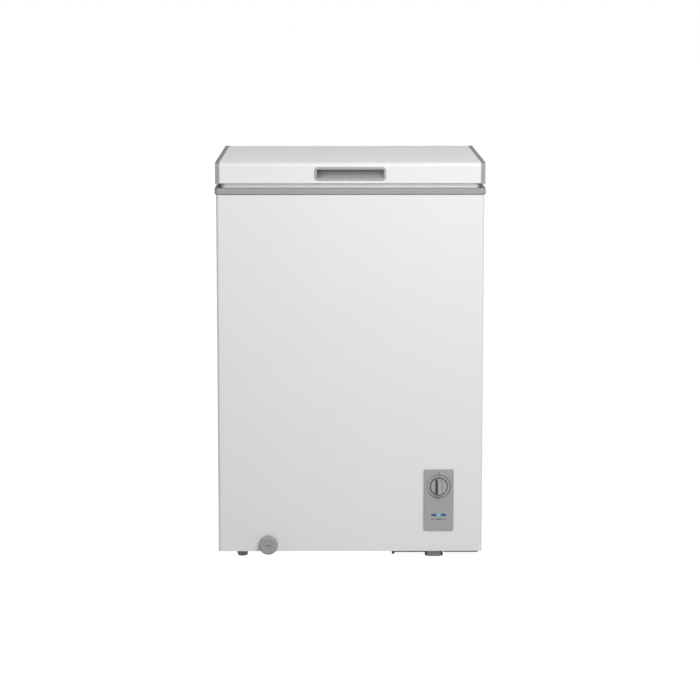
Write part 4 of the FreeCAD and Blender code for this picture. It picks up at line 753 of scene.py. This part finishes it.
def crossed(work, outward, depth):
    """Press a cross recess into the end face of every screw head that looks outward."""
    reach = max(vert.co.dot(outward) for vert in work.verts)

    def is_end(face):
        """A face square to the screws, as far out as any."""
        return face.normal.dot(outward) > 0.99 and reach - face.calc_center_median().dot(outward) < 1e-4

    for end in [face for face in work.faces if is_end(face)]:
        centre = end.calc_center_median()
        radius = min((vert.co - centre).length for vert in end.verts)
        across = outward.orthogonal().normalized()
        up = outward.cross(across)
        long, half, taper = 0.62 * radius, 0.13 * radius, 0.6
        corners = [(long, -half), (long, half), (half, half)]
        for _ in range(3):
            corners += [(-b, a) for a, b in corners[-3:]]
        rim = [work.verts.new(centre + across * a + up * b) for a, b in corners]
        foot = [work.verts.new(centre + (across * a + up * b) * taper - outward * depth) for a, b in corners]
        edges = list(end.edges)
        bmesh.ops.delete(work, geom=[end], context="FACES_ONLY")
        edges += [work.edges.new((rim[i - 1], rim[i])) for i in range(len(rim))]
        bmesh.ops.triangle_fill(work, edges=edges, use_beauty=True, normal=outward)
        joined(work, (rim, foot))
        work.faces.new(foot)


def plan_loop(x0, x1, y0, y1, corner, steps=6):
    """Points round a rounded rectangle, the same count for any size."""
    points = []
    for cx, cy, start in ((x1 - corner, y1 - corner, 0), (x0 + corner, y1 - corner, 90),
                          (x0 + corner, y0 + corner, 180), (x1 - corner, y0 + corner, 270)):
        for step in range(steps + 1):
            angle = math.radians(start + 90 * step / steps)
            points.append((cx + corner * math.cos(angle), cy + corner * math.sin(angle)))
    return points


def terraced(name, plan, steps, closed=False):
    """Rounded-rectangle loops joined one to the next; a step is (inset, height, corner radius)."""
    x0, x1, y0, y1 = plan
    work = bmesh.new()
    loops = []
    for inset, height, corner in steps:
        ring = plan_loop(x0 + inset, x1 - inset, y0 + inset, y1 - inset, corner)
        loops.append([work.verts.new((x, y, height)) for x, y in ring])
    joined(work, loops + loops[:1] if closed else loops)
    return mesh_from(work, name)


def lathed(name, profile, origin, axis, steps=96):
    """A profile of (radius, distance along the axis) points turned about the axis."""
    work = bmesh.new()
    turned = axis.to_track_quat("Z", "Y").to_matrix().to_4x4()
    verts = [work.verts.new((radius, 0, along)) for radius, along in profile]
    edges = [work.edges.new(pair) for pair in zip(verts, verts[1:])]
    bmesh.ops.spin(work, geom=verts + edges, cent=(0, 0, 0), axis=(0, 0, 1), angle=math.tau, steps=steps,
                   use_duplicate=False)
    bmesh.ops.remove_doubles(work, verts=work.verts, dist=1e-6)
    bmesh.ops.transform(work, matrix=Matrix.Translation(origin) @ turned, verts=work.verts)
    return mesh_from(work, name)


def wire_mesh(name, points, radius, sides=8):
    """Round wire along a line of points, with rounded ends."""
    ahead = [(b - a).normalized() for a, b in zip(points[:1] + points[:-1], points[1:] + points[-1:])]
    nose = 0.6 * radius
    stops = [(points[0] - ahead[0] * nose, ahead[0], 0.5 * radius)]
    stops += [(point, direction, radius) for point, direction in zip(points, ahead)]
    stops.append((points[-1] + ahead[-1] * nose, ahead[-1], 0.5 * radius))
    work = bmesh.new()
    side = ahead[0].orthogonal().normalized()
    rings = []
    for point, direction, reach in stops:
        side = (side - direction * side.dot(direction)).normalized()
        other = direction.cross(side)
        ring = []
        for step in range(sides):
            angle = math.tau * step / sides
            ring.append(work.verts.new(point + (side * math.cos(angle) + other * math.sin(angle)) * reach))
        rings.append(ring)
    joined(work, rings)
    work.faces.new(rings[0][::-1])
    work.faces.new(rings[-1])
    return mesh_from(work, name)


# ---------------------------------------------------------------- operators for the pieces and the stage
class FREEZER_OT_cabinet(bpy.types.Operator):
    """Painted wrap, rear and bottom sheets and the insulation behind them"""

    bl_idname = "freezer.cabinet"
    bl_label = "Cabinet"

    def execute(self, context):
        softened("cabinet_shell", "white_enamel", "cabinet_wrap")
        softened("back_panel", "grey_steel", "rear_sheet")
        softened("bottom_panel", "zinc_steel", "floor_sheet")
        kept("rigid_foam", "cabinet_foam", "lid_foam")
        return {"FINISHED"}


class FREEZER_OT_collar(bpy.types.Operator):
    """Grey moulded frame round the cabinet's top, with painted shade on its faces that look down"""

    bl_idname = "freezer.collar"
    bl_label = "Top collar"

    def execute(self, context):
        softened("top_collar", "grey_plastic", "collar_frame", "moulded_edge", 3, "collar_plastic",
                 split=True, shaped=lambda work: turned_under(work, sizes().skirt_round))
        return {"FINISHED"}


class FREEZER_OT_tub(bpy.types.Operator):
    """Embossed aluminium tub"""

    bl_idname = "freezer.tub"
    bl_label = "Tub"

    def execute(self, context):
        softened("inner_liner", "stucco_aluminium", "tub_sheet")
        return {"FINISHED"}


class FREEZER_OT_lid(bpy.types.Operator):
    """Lid skin, its two end channels and the ribbed inner panel"""

    bl_idname = "freezer.lid"
    bl_label = "Lid"

    # Where a return starts beside the inner panel, and how far it stops short of the channel's side and ends.
    return_gap, return_side, return_ends = 0.0001, 0.0019, 0.0024
    # How far the returns hang below the panel's rim, their height and the rise of the fold in their middle.
    return_drop, return_height, return_fold = 0.00095, 0.0009, 0.0004
    # The raised middle of the inner panel, in from its sides and from its front and back.
    raised_side, raised_front = 0.072, 0.082
    # Half a bead's width, its corner, how far it laps into the panel and how far in each bead lies.
    bead_half, bead_corner, bead_lap = 0.006, 0.03, 0.0002
    bead_insets = (("outer", 0.022), ("inner", 0.060))

    def execute(self, context):
        softened("lid_shell", "white_enamel", "lid_skin")
        for side in ("left", "right"):
            # The end channels carry painted shade on their upper faces.
            softened(side + "_lid_end_cap", "grey_plastic", side + "_end_channel", "moulded_edge", 3,
                     "cap_plastic", split=True)
        softened("lid_liner", "white_plastic", "lid_inner_panel", "moulded_edge", 3)
        self.panel_beads()
        self.returns()
        return {"FINISHED"}

    def returns(self):
        """Folded returns under the end channels, over the edge of the insulation."""
        _, panel, _ = boxed("lid_liner")
        low, high, _ = boxed("right_lid_end_cap")
        inner = panel.x + self.return_gap
        wide = high.x - self.return_side - inner
        tall, fold = self.return_height, self.return_fold
        section = ((0.0, 0.0), (0.25 * wide, 0.0), (0.35 * wide, fold), (0.65 * wide, fold),
                   (0.75 * wide, 0.0), (wide, 0.0), (wide, tall), (0.0, tall))
        bottom = panel.z - self.return_drop
        work = bmesh.new()
        for side in (-1, 1):
            drawn(work, section, (low.y + self.return_ends, high.y - self.return_ends),
                  lambda along, x, z: (side * (inner + x), along, bottom + z))
        mesh = mesh_from(work, "channel_returns", 0.0)
        settle("channel_returns", mesh, "lid", "grey_plastic", look="cap_plastic")

    def panel_beads(self):
        """Pressed beads on the underside of the raised panel."""
        low, high, middle = boxed("lid_liner")
        under = low.z + self.bead_lap
        reach_x = high.x - self.raised_side
        reach_y = (high.y - low.y) / 2 - self.raised_front
        for label, inset in self.bead_insets:
            plan = (middle.x - reach_x + inset, middle.x + reach_x - inset,
                    middle.y - reach_y + inset, middle.y + reach_y - inset)
            steps = []
            for step in range(9):
                angle = math.pi * step / 8
                height = under - sizes().bead_height * math.sin(angle)
                steps.append((self.bead_half * (1 - math.cos(angle)), height, self.bead_corner))
            settle("lid_panel_bead_" + label, terraced("bead", plan, steps), "lid", "white_plastic")


class FREEZER_OT_seal(bpy.types.Operator):
    """Vinyl seal with its bellows, and the magnet strips in it"""

    bl_idname = "freezer.seal"
    bl_label = "Lid seal"

    # Half a section: how far in each point is, in pleats, and how high, as a share of the height.
    outline = (
        (0.30, 0.00), (-0.30, 0.05), (-0.50, 0.14), (-0.50, 0.36), (-0.15, 0.45), (0.10, 0.49), (-0.15, 0.53),
        (-0.50, 0.62), (-0.50, 0.84), (-0.30, 0.95), (0.30, 1.00),
    )
    # Width of the seal, its outer and inner corners and the rounding of its folds.
    band, outer_corner, inner_corner, fold_edge = 0.017, 0.012, 0.004, 0.0004

    def execute(self, context):
        low, high, _ = boxed("lid_gasket")
        pleat = sizes().seal_pleat
        tall = high.z - low.z
        outside = [(fold * pleat, low.z + tall * level, self.outer_corner) for fold, level in self.outline]
        inside = [(self.band - inset, height, self.inner_corner) for inset, height, _ in reversed(outside)]
        mesh = terraced("seal", (low.x, high.x, low.y, high.y), outside + inside, closed=True)
        ring = settle("seal_ring", mesh, "lid", "seal_vinyl", ("lid_gasket",))
        rounded_edges(ring, self.fold_edge, 2, 25.0)
        kept("magnet", "gasket_magnets")
        return {"FINISHED"}


class FREEZER_OT_finger_pull(bpy.types.Operator):
    """Moulded finger pull in the lid's front"""

    bl_idname = "freezer.finger_pull"
    bl_label = "Finger pull"

    def execute(self, context):
        # Its finish paints shade and light into the cup.
        softened("handle_recess", "handle_plastic", "finger_pull", "moulded_edge", 3)
        return {"FINISHED"}


class FREEZER_OT_control_panel(bpy.types.Operator):
    """Control panel with its printed marks, its painted shadow rings, and the box behind it"""

    bl_idname = "freezer.control_panel"
    bl_label = "Control panel"

    # How far the dish reaches past the knob and lies behind its back, and how thick the print and the painted
    # shadow rings are.
    dish_reach, dish_depth, ink = 0.0083, 0.0005, 0.00012
    # Between the knob and its painted shadow ring, and between the dish and the start mark.
    ring_gap, mark_gap = 0.0002, 0.0005
    # Groups of short marks under the strip: first mark, pitch, width, height and how many, and how far down.
    label_groups = (
        (-0.0146, 0.0015, 0.00095, 0.0028, 4), (-0.0065, 0.00145, 0.00105, 0.0035, 9),
        (0.0093, 0.0015, 0.00085, 0.0027, 5),
    )
    label_drop = 0.0092

    def execute(self, context):
        softened("control_panel", "grey_plastic", "panel_face", look="panel_plastic")
        self.rings()
        self.small_marks()
        kept("dark_plastic", "control_box", "start_relay_box")
        kept("zinc_steel", "thermostat_body", "thermostat_shaft")
        return {"FINISHED"}

    def dish(self):
        """The knob's middle, its radius and the dish's."""
        low, high, middle = boxed("thermostat_knob")
        radius = (high.x - low.x) / 2
        return Vector((middle.x, high.y, middle.z)), radius, radius + self.dish_reach

    def rings(self):
        """Dark rings of painted shade: the shadowed gap round the knob, and the shaded wall at the edge of
        its dish.
        """
        back, radius, dish = self.dish()
        for name, inner, width in (("knob_ring", radius + self.ring_gap, sizes().knob_ring),
                                   ("dish_line", dish - sizes().dish_line, sizes().dish_line)):
            outer = inner + width
            section = [(inner, 0.0), (outer, 0.0), (outer, self.ink), (inner, self.ink), (inner, 0.0)]
            ring = lathed(name, section, back + Vector((0, self.dish_depth, 0)), FRONTWARD)
            settle("panel_" + name, ring, "cabinet", "grey_plastic", look="print_ink")

    def small_marks(self):
        """A start mark above the knob and rows of short marks under the strip."""
        face = boxed("control_panel")[0].y
        knob, _, dish = self.dish()
        _, _, strip = boxed("indicator_lens")
        half = sizes().index_mark / 2
        foot = knob.z + dish + self.mark_gap
        top = foot + 1.7 * half
        work = bmesh.new()
        drawn(work, ((-half, top), (half, top), (0.0, foot)), (0.0, self.ink),
              lambda out, x, z: (knob.x + x, face - out, z))
        for first, pitch, wide, tall, how_many in self.label_groups:
            for index in range(how_many):
                height = tall * (0.7 if index % 3 == 2 else 1.0)
                made = bmesh.ops.create_cube(work, size=1.0)["verts"]
                bmesh.ops.scale(work, vec=(wide, self.ink, height), verts=made)
                place = (strip.x + first + pitch * index, face - self.ink / 2, strip.z - self.label_drop)
                bmesh.ops.translate(work, vec=place, verts=made)
        settle("panel_print", mesh_from(work, "print", 0.0), "cabinet", "grey_plastic", look="print_ink")


class FREEZER_OT_knob(bpy.types.Operator):
    """Temperature knob with a tapered grip, and painted shade in the groove beside it"""

    bl_idname = "freezer.knob"
    bl_label = "Temperature knob"

    # Section of the painted shade strip from the groove's floor up the bar's side: place beside the knob's
    # middle, place behind the front of its disc, and half length.
    pointer_section = (
        (-0.0066, 0.0035, 0.0149), (-0.0043, 0.0035, 0.0156), (-0.0043, 0.0, 0.0156),
        (-0.00265, -0.0122, 0.0133),
    )
    # Thickness of the knob's disc, and how far the painted shade strip is sunk and stands proud.
    disc, pointer_sunk, pointer_proud = 0.006, 0.0001, 0.00015

    def execute(self, context):
        softened("thermostat_knob", "grey_plastic", "temperature_knob", "moulded_edge", 3, "knob_plastic",
                 split=True)
        self.pointer()
        return {"FINISHED"}

    def pointer(self):
        """Dark strip of painted shade in the groove and on the shaded side of the bar."""
        _, high, middle = boxed("thermostat_knob")
        front = high.y - self.disc

        def skin(ahead):
            """The section so far ahead of the groove's floor and, from its third point, of the bar's side."""
            return [(x - ahead * (index > 1), y - ahead, half)
                    for index, (x, y, half) in enumerate(self.pointer_section)]

        work = bmesh.new()
        drawn(work, skin(-self.pointer_sunk) + skin(self.pointer_proud)[::-1], (-1, 1),
              lambda end, x, y, half: (middle.x + x, front + y, middle.z + end * half))
        settle("knob_pointer", mesh_from(work, "knob_pointer", 0.0), "knob", "grey_plastic", look="print_ink")


class FREEZER_OT_indicator(bpy.types.Operator):
    """Lit strip and the board behind it"""

    bl_idname = "freezer.indicator"
    bl_label = "Indicator"

    def execute(self, context):
        softened("indicator_lens", "indicator_glass", "indicator_strip", segments=3)
        kept("circuit_board", "indicator_board")
        return {"FINISHED"}


class FREEZER_OT_drain(bpy.types.Operator):
    """Drain cap, spout, tube and floor plug"""

    bl_idname = "freezer.drain"
    bl_label = "Drain"

    def execute(self, context):
        softened("drain_dial", "grey_plastic", "drain_cap")
        softened("drain_hose", "white_plastic", "drain_tube")
        softened("drain_stem", "white_plastic", "drain_spout")
        softened("drain_plug", "grey_rubber", "floor_plug", "moulded_edge", 3)
        return {"FINISHED"}


class FREEZER_OT_feet(bpy.types.Operator):
    """Four feet"""

    bl_idname = "freezer.feet"
    bl_label = "Feet"

    def execute(self, context):
        for end in ("front_", "rear_"):
            # The right pads take paler rubber, lightened further as painted light for the shadow under the
            # cabinet.
            for side, look in (("left", "grey_rubber"), ("right", "pad_rubber")):
                softened(end + side + "_foot", "grey_rubber", end + side + "_pad", "rubber_edge", 3, look)
        return {"FINISHED"}


class FREEZER_OT_hinges(bpy.types.Operator):
    """Hinge plates, leaves, pins and plungers"""

    bl_idname = "freezer.hinges"
    bl_label = "Hinges"

    def execute(self, context):
        for side in ("left", "right"):
            softened(side + "_hinge_base", "zinc_steel", side + "_hinge_bracket")
            softened(side + "_hinge_leaf", "zinc_steel", side + "_hinge_arm")
            softened(side + "_hinge_plunger", "dark_plastic", side + "_plunger_head", "moulded_edge", 3)
        softened("hinge_pins", "spring_steel", "hinge_pin_pair")
        return {"FINISHED"}


class FREEZER_OT_springs(bpy.types.Operator):
    """Coil springs round the hinge plungers"""

    bl_idname = "freezer.springs"
    bl_label = "Hinge springs"

    def execute(self, context):
        for side in ("left", "right"):
            low, high, _ = boxed(side + "_hinge_spring")
            _, _, plunger = boxed(side + "_hinge_plunger")
            start, end = low.z + sizes().spring_wire, high.z - sizes().spring_wire
            name = side + "_spring_coil"
            coil = self.coil(Vector((plunger.x, plunger.y, start)), end - start)
            piece = added(name, wire_mesh(name, coil, sizes().spring_wire))
            piece.data.materials.append(finish("spring_steel"))
            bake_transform(piece)
            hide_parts(side + "_hinge_spring")
        return {"FINISHED"}

    def coil(self, foot, height):
        """Points of a coil that climbs over its working turns and has a flat turn at each end."""
        radius, turns = sizes().spring_radius, sizes().spring_turns
        whole = turns + 2
        points = []
        for step in range(20 * whole + 1):
            turned = step / 20
            climb = min(max((turned - 1) / turns, 0.0), 1.0)
            angle = math.tau * turned
            points.append(foot + Vector((radius * math.cos(angle), radius * math.sin(angle), height * climb)))
        return points


class FREEZER_OT_basket(bpy.types.Operator):
    """Hanging basket of coated wire"""

    bl_idname = "freezer.basket"
    bl_label = "Wire basket"

    def execute(self, context):
        kept("white_wire", "wire_basket")
        return {"FINISHED"}


class FREEZER_OT_compressor(bpy.types.Operator):
    """Compressor with its rubber feet, bolts and base plate"""

    bl_idname = "freezer.compressor"
    bl_label = "Compressor"

    # Section of the tray's lip: place behind its front and place above its top.
    lip_section = (
        (0.0, 0.0), (0.0, -0.0029), (0.0003, -0.0034), (0.0009, -0.0034), (0.0012, -0.0029), (0.0012, 0.0))
    # Between the lip and the foot, how far the lip laps over the tray, and how far down the bolt sits.
    foot_gap, lap, bolt_drop = 0.006, 0.0002, 0.0044

    def execute(self, context):
        softened("compressor_lower_shell", "black_enamel", "compressor_bowl", "fold_edge", 3)
        softened("compressor_upper_shell", "black_enamel", "compressor_dome", "fold_edge", 3)
        self.weld()
        softened("compressor_grommets", "black_rubber", "compressor_bushes", "rubber_edge")
        softened("compressor_bolts", "zinc_steel", "compressor_bolt_set")
        softened("base_plate", "zinc_steel", "base_tray", look="black_zinc")
        self.lip()
        self.bolt()
        softened("bay_liner", "zinc_steel", "bay_sheet")
        kept("spring_steel", "compressor_motor")
        return {"FINISHED"}

    def lip(self):
        """Folded lip under the tray's front edge, open at the foot."""
        low, high, _ = boxed("base_plate")
        foot_low, foot_high, _ = boxed("front_right_foot")
        work = bmesh.new()
        for ends in ((low.x, foot_low.x - self.foot_gap), (foot_high.x + self.foot_gap, high.x)):
            drawn(work, self.lip_section, ends,
                  lambda along, y, z: (along, low.y - self.lap + y, high.z - self.lap + z))
        settle("tray_lip", mesh_from(work, "tray_lip", 0.0), "cabinet", "zinc_steel", look="black_zinc")

    def bolt(self):
        """Bolt at the front corner of the tray."""
        low, high, _ = boxed("base_plate")
        head = sizes().tray_bolt / 2
        section = [(0.0, 0.0), (head, 0.0), (head, 0.0012), (0.8 * head, 0.0021), (0.3 * head, 0.0023),
                   (0.0, 0.0018)]
        place = Vector((low.x + head, low.y - self.lap / 2, high.z - self.bolt_drop))
        bolt = lathed("tray_bolt", section, place, FRONTWARD, 32)
        settle("tray_bolt", bolt, "cabinet", "zinc_steel", look="black_zinc")

    def weld(self):
        """Weld bead round the seam of the two shells."""
        low, high, middle = boxed("compressor_upper_shell")
        radius = (high.x - low.x) / 2
        bead = sizes().weld_bead
        section = []
        for step in range(13):
            angle = math.tau * step / 12
            section.append((radius + bead * math.cos(angle) / 2, bead * math.sin(angle)))
        ring = lathed("compressor_weld", section, Vector((middle.x, middle.y, low.z)), Vector((0, 0, 1)))
        settle("compressor_weld", ring, "cabinet", "black_enamel")


class FREEZER_OT_tubes(bpy.types.Operator):
    """Refrigerant tubes and the filter drier"""

    bl_idname = "freezer.tubes"
    bl_label = "Refrigerant tubes"

    def execute(self, context):
        kept("copper_tube", "capillary_tube", "suction_tube", "discharge_tube")
        softened("filter_drier", "copper_tube", "drier_cartridge", "moulded_edge", 3)
        kept("bare_aluminium", "evaporator_coil")
        kept("zinc_steel", "condenser_coil")
        return {"FINISHED"}


class FREEZER_OT_vents(bpy.types.Operator):
    """Louvred rear cover, its cord bush and the side vent"""

    bl_idname = "freezer.vents"
    bl_label = "Vents"

    # Slots of the rear cover: middles of the two columns from the compressor's middle, and half their width.
    slot_middles, slot_half = (-0.036, 0.036), 0.031
    # Bottom of the lowest row, pitch and height of the rows and how many.
    first_row, row_pitch, row_height, row_count = 0.103, 0.011, 0.004, 8
    # How far a hood laps past its slot at the sides, below and above, and the thickness of its sheet.
    lap_side, lap_below, lap_above, sheet = 0.0015, 0.0006, 0.0016, 0.0008

    def execute(self, context):
        softened("rear_cover", "grey_steel", "louvred_cover", segments=1)
        softened("cord_grommet", "black_rubber", "cord_bush", "moulded_edge", 3)
        softened("side_grille", "grey_plastic", "side_vent", segments=1, split=True)
        self.hoods()
        return {"FINISHED"}

    def hoods(self):
        """Pressed hoods over the slots, open underneath."""
        _, _, pot = boxed("compressor_upper_shell")
        work = bmesh.new()
        for side in self.slot_middles:
            for row in range(self.row_count):
                slot = self.first_row + self.row_pitch * row
                self.hood(work, pot.x + side, slot - self.lap_below, slot + self.row_height + self.lap_above)
        settle("louvre_hoods", mesh_from(work, "louvre_hoods"), "cabinet", "grey_steel")

    def hood(self, work, middle, bottom, top, columns=20, rows=6):
        """One hood: a bulged outer skin, the same skin a sheet behind it, and walls between them."""
        face = boxed("rear_cover")[1].y
        half = self.slot_half + self.lap_side
        skins = []
        for back_off in (0.0, self.sheet):
            skin = []
            for column in range(columns + 1):
                across = 2 * column / columns - 1
                bulge = sizes().hood_depth * (1 - abs(across) ** 8)
                skin.append([work.verts.new((
                    middle + half * across,
                    face + bulge * math.sin(math.pi / 2 * row / rows) - back_off,
                    top + (bottom - top) * row / rows)) for row in range(rows + 1)])
            joined(work, skin, closed=False)
            skins.append(skin)
        for row in (0, rows):
            joined(work, [[line[row] for line in skin] for skin in skins], closed=False)
        for column in (0, columns):
            joined(work, [skin[column] for skin in skins], closed=False)


class FREEZER_OT_fasteners(bpy.types.Operator):
    """Screws of the hinges and the base plate"""

    bl_idname = "freezer.fasteners"
    bl_label = "Fasteners"

    def execute(self, context):
        for cad_node, outward, look in (("hinge_screws", (0, 1, 0), "zinc_steel"),
                                        ("lid_screws", (0, 1, 0), "zinc_steel"),
                                        ("base_screws", (0, 0, -1), "black_zinc")):
            softened(cad_node, "zinc_steel", cad_node + "_set", "recess_edge", look=look,
                     shaped=lambda work: crossed(work, Vector(outward), sizes().recess_depth))
        return {"FINISHED"}


class FREEZER_OT_stage(bpy.types.Operator):
    """Floor, soft lights, room light and camera"""

    bl_idname = "freezer.stage"
    bl_label = "Stage"

    # Where the camera stands, and how far it looks down and turns to the right, in degrees.
    camera_place, camera_down, camera_right = (-0.0318, -5.468, 1.2334), 8.53, 0.344
    # Height of the place on the front that the lights look at, and half the floor's width.
    lit_height, floor_reach = 0.45, 30.0

    def execute(self, context):
        stage = context.scene.freezer_stage
        self.floor()
        self.room(stage.room_light)
        self.lamp("key", (0.62, -2.0, 1.75), stage.key_power, 1.5)
        self.lamp("fill", (-2.6, -2.6, 1.3), stage.fill_power, 2.2)
        self.camera(stage.focal_length)
        context.scene.view_settings.view_transform = "Standard"
        return {"FINISHED"}

    def seen_ray(self, tree):
        """1 for rays from the camera, or by way of gloss or glass."""
        path = tree.nodes.new("ShaderNodeLightPath").outputs
        seen = maths(tree, "MAXIMUM", path["Is Camera Ray"], path["Is Glossy Ray"])
        return maths(tree, "MAXIMUM", seen, path["Is Transmission Ray"])

    def floor(self):
        """A white floor that keeps a soft shadow."""
        mesh = bpy.data.meshes.new("floor")
        reach = self.floor_reach
        corners = [(-reach, -reach, 0), (reach, -reach, 0), (reach, reach, 0), (-reach, reach, 0)]
        mesh.from_pydata(corners, [], [(0, 1, 2, 3)])
        plane = added("floor", mesh)
        material = bpy.data.materials.new("studio_floor")
        material.use_nodes = True
        tree = material.node_tree
        tree.nodes.clear()
        plain = node(tree, "ShaderNodeBsdfDiffuse", Color=(0.56, 0.56, 0.56, 1.0)).outputs[0]
        shaded = node(tree, "ShaderNodeBsdfDiffuse", Color=(0.30, 0.30, 0.30, 1.0)).outputs[0]
        glow = node(tree, "ShaderNodeEmission", Color=(1, 1, 1, 1), Strength=0.95).outputs[0]
        lit = node(tree, "ShaderNodeAddShader", i0=shaded, i1=glow).outputs[0]
        front = node(tree, "ShaderNodeMixShader", i0=self.seen_ray(tree), i1=plain, i2=lit).outputs[0]
        clear = node(tree, "ShaderNodeBsdfTransparent").outputs[0]
        behind = node(tree, "ShaderNodeNewGeometry").outputs["Backfacing"]
        whole = node(tree, "ShaderNodeMixShader", i0=behind, i1=front, i2=clear).outputs[0]
        node(tree, "ShaderNodeOutputMaterial", Surface=whole)
        mesh.materials.append(material)

    def room(self, strength):
        """Even light from all round, seen as white."""
        world = bpy.data.worlds.new("room")
        bpy.context.scene.world = world
        world.use_nodes = True
        tree = world.node_tree
        back = next(n for n in tree.nodes if n.type == "BACKGROUND")
        back.inputs["Color"].default_value = (1, 1, 1, 1)
        shown = node(tree, "ShaderNodeMapRange", i0=self.seen_ray(tree), i3=strength, i4=1.0).outputs[0]
        tree.links.new(shown, back.inputs["Strength"])

    def lamp(self, name, place, power, size):
        """A square soft light that looks at the middle of the front."""
        data = bpy.data.lights.new(name, "AREA")
        data.energy = power
        data.shape = "SQUARE"
        data.size = size
        lamp = added(name, data)
        lamp.location = place
        aim = Vector((0.0, CAD_BOX[0].y, self.lit_height)) - Vector(place)
        lamp.rotation_mode = "QUATERNION"
        lamp.rotation_quaternion = aim.to_track_quat("-Z", "Y")

    def camera(self, lens):
        """The camera, a little above the lid and looking down at the front."""
        data = bpy.data.cameras.new("camera")
        data.lens = lens
        data.sensor_width = 36.0
        data.clip_start, data.clip_end = 0.1, 100.0
        camera = added("camera", data)
        camera.location = self.camera_place
        camera.rotation_mode = "XYZ"
        camera.rotation_euler = (math.radians(90 - self.camera_down), 0.0, math.radians(-self.camera_right))
        bpy.context.scene.camera = camera


PIECES = (
    FREEZER_OT_cabinet, FREEZER_OT_collar, FREEZER_OT_tub, FREEZER_OT_lid, FREEZER_OT_seal,
    FREEZER_OT_finger_pull, FREEZER_OT_control_panel, FREEZER_OT_knob, FREEZER_OT_indicator, FREEZER_OT_drain,
    FREEZER_OT_feet, FREEZER_OT_hinges, FREEZER_OT_springs, FREEZER_OT_basket, FREEZER_OT_compressor,
    FREEZER_OT_tubes, FREEZER_OT_vents, FREEZER_OT_fasteners, FREEZER_OT_stage,
)
SETTINGS = {"freezer_sizes": FreezerSizes, "freezer_colours": FreezerColours, "freezer_stage": FreezerStage}


class FREEZER_PT_pieces(bpy.types.Panel):
    """Lists the freezer's pieces and their sizes and colours"""

    bl_idname = "FREEZER_PT_pieces"
    bl_label = "Chest freezer"
    bl_space_type = "VIEW_3D"
    bl_region_type = "UI"
    bl_category = "Freezer"

    def draw(self, context):
        for piece in PIECES:
            self.layout.operator(piece.bl_idname)
        for name, kind in SETTINGS.items():
            box = self.layout.box()
            for label in kind.__annotations__:
                box.prop(getattr(context.scene, name), label)


CLASSES = tuple(SETTINGS.values()) + PIECES + (FREEZER_PT_pieces,)


def register():
    """Register the classes and give the scene its settings."""
    for each in CLASSES:
        bpy.utils.register_class(each)
    for name, kind in SETTINGS.items():
        setattr(bpy.types.Scene, name, bpy.props.PointerProperty(type=kind))


def unregister():
    """Take the settings and the classes away."""
    for name in SETTINGS:
        delattr(bpy.types.Scene, name)
    for each in reversed(CLASSES):
        bpy.utils.unregister_class(each)


def main():
    """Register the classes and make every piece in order."""
    register()
    for piece in PIECES:
        area, name = piece.bl_idname.split(".")
        getattr(getattr(bpy.ops, area), name)()


if __name__ == "__main__":
    main()
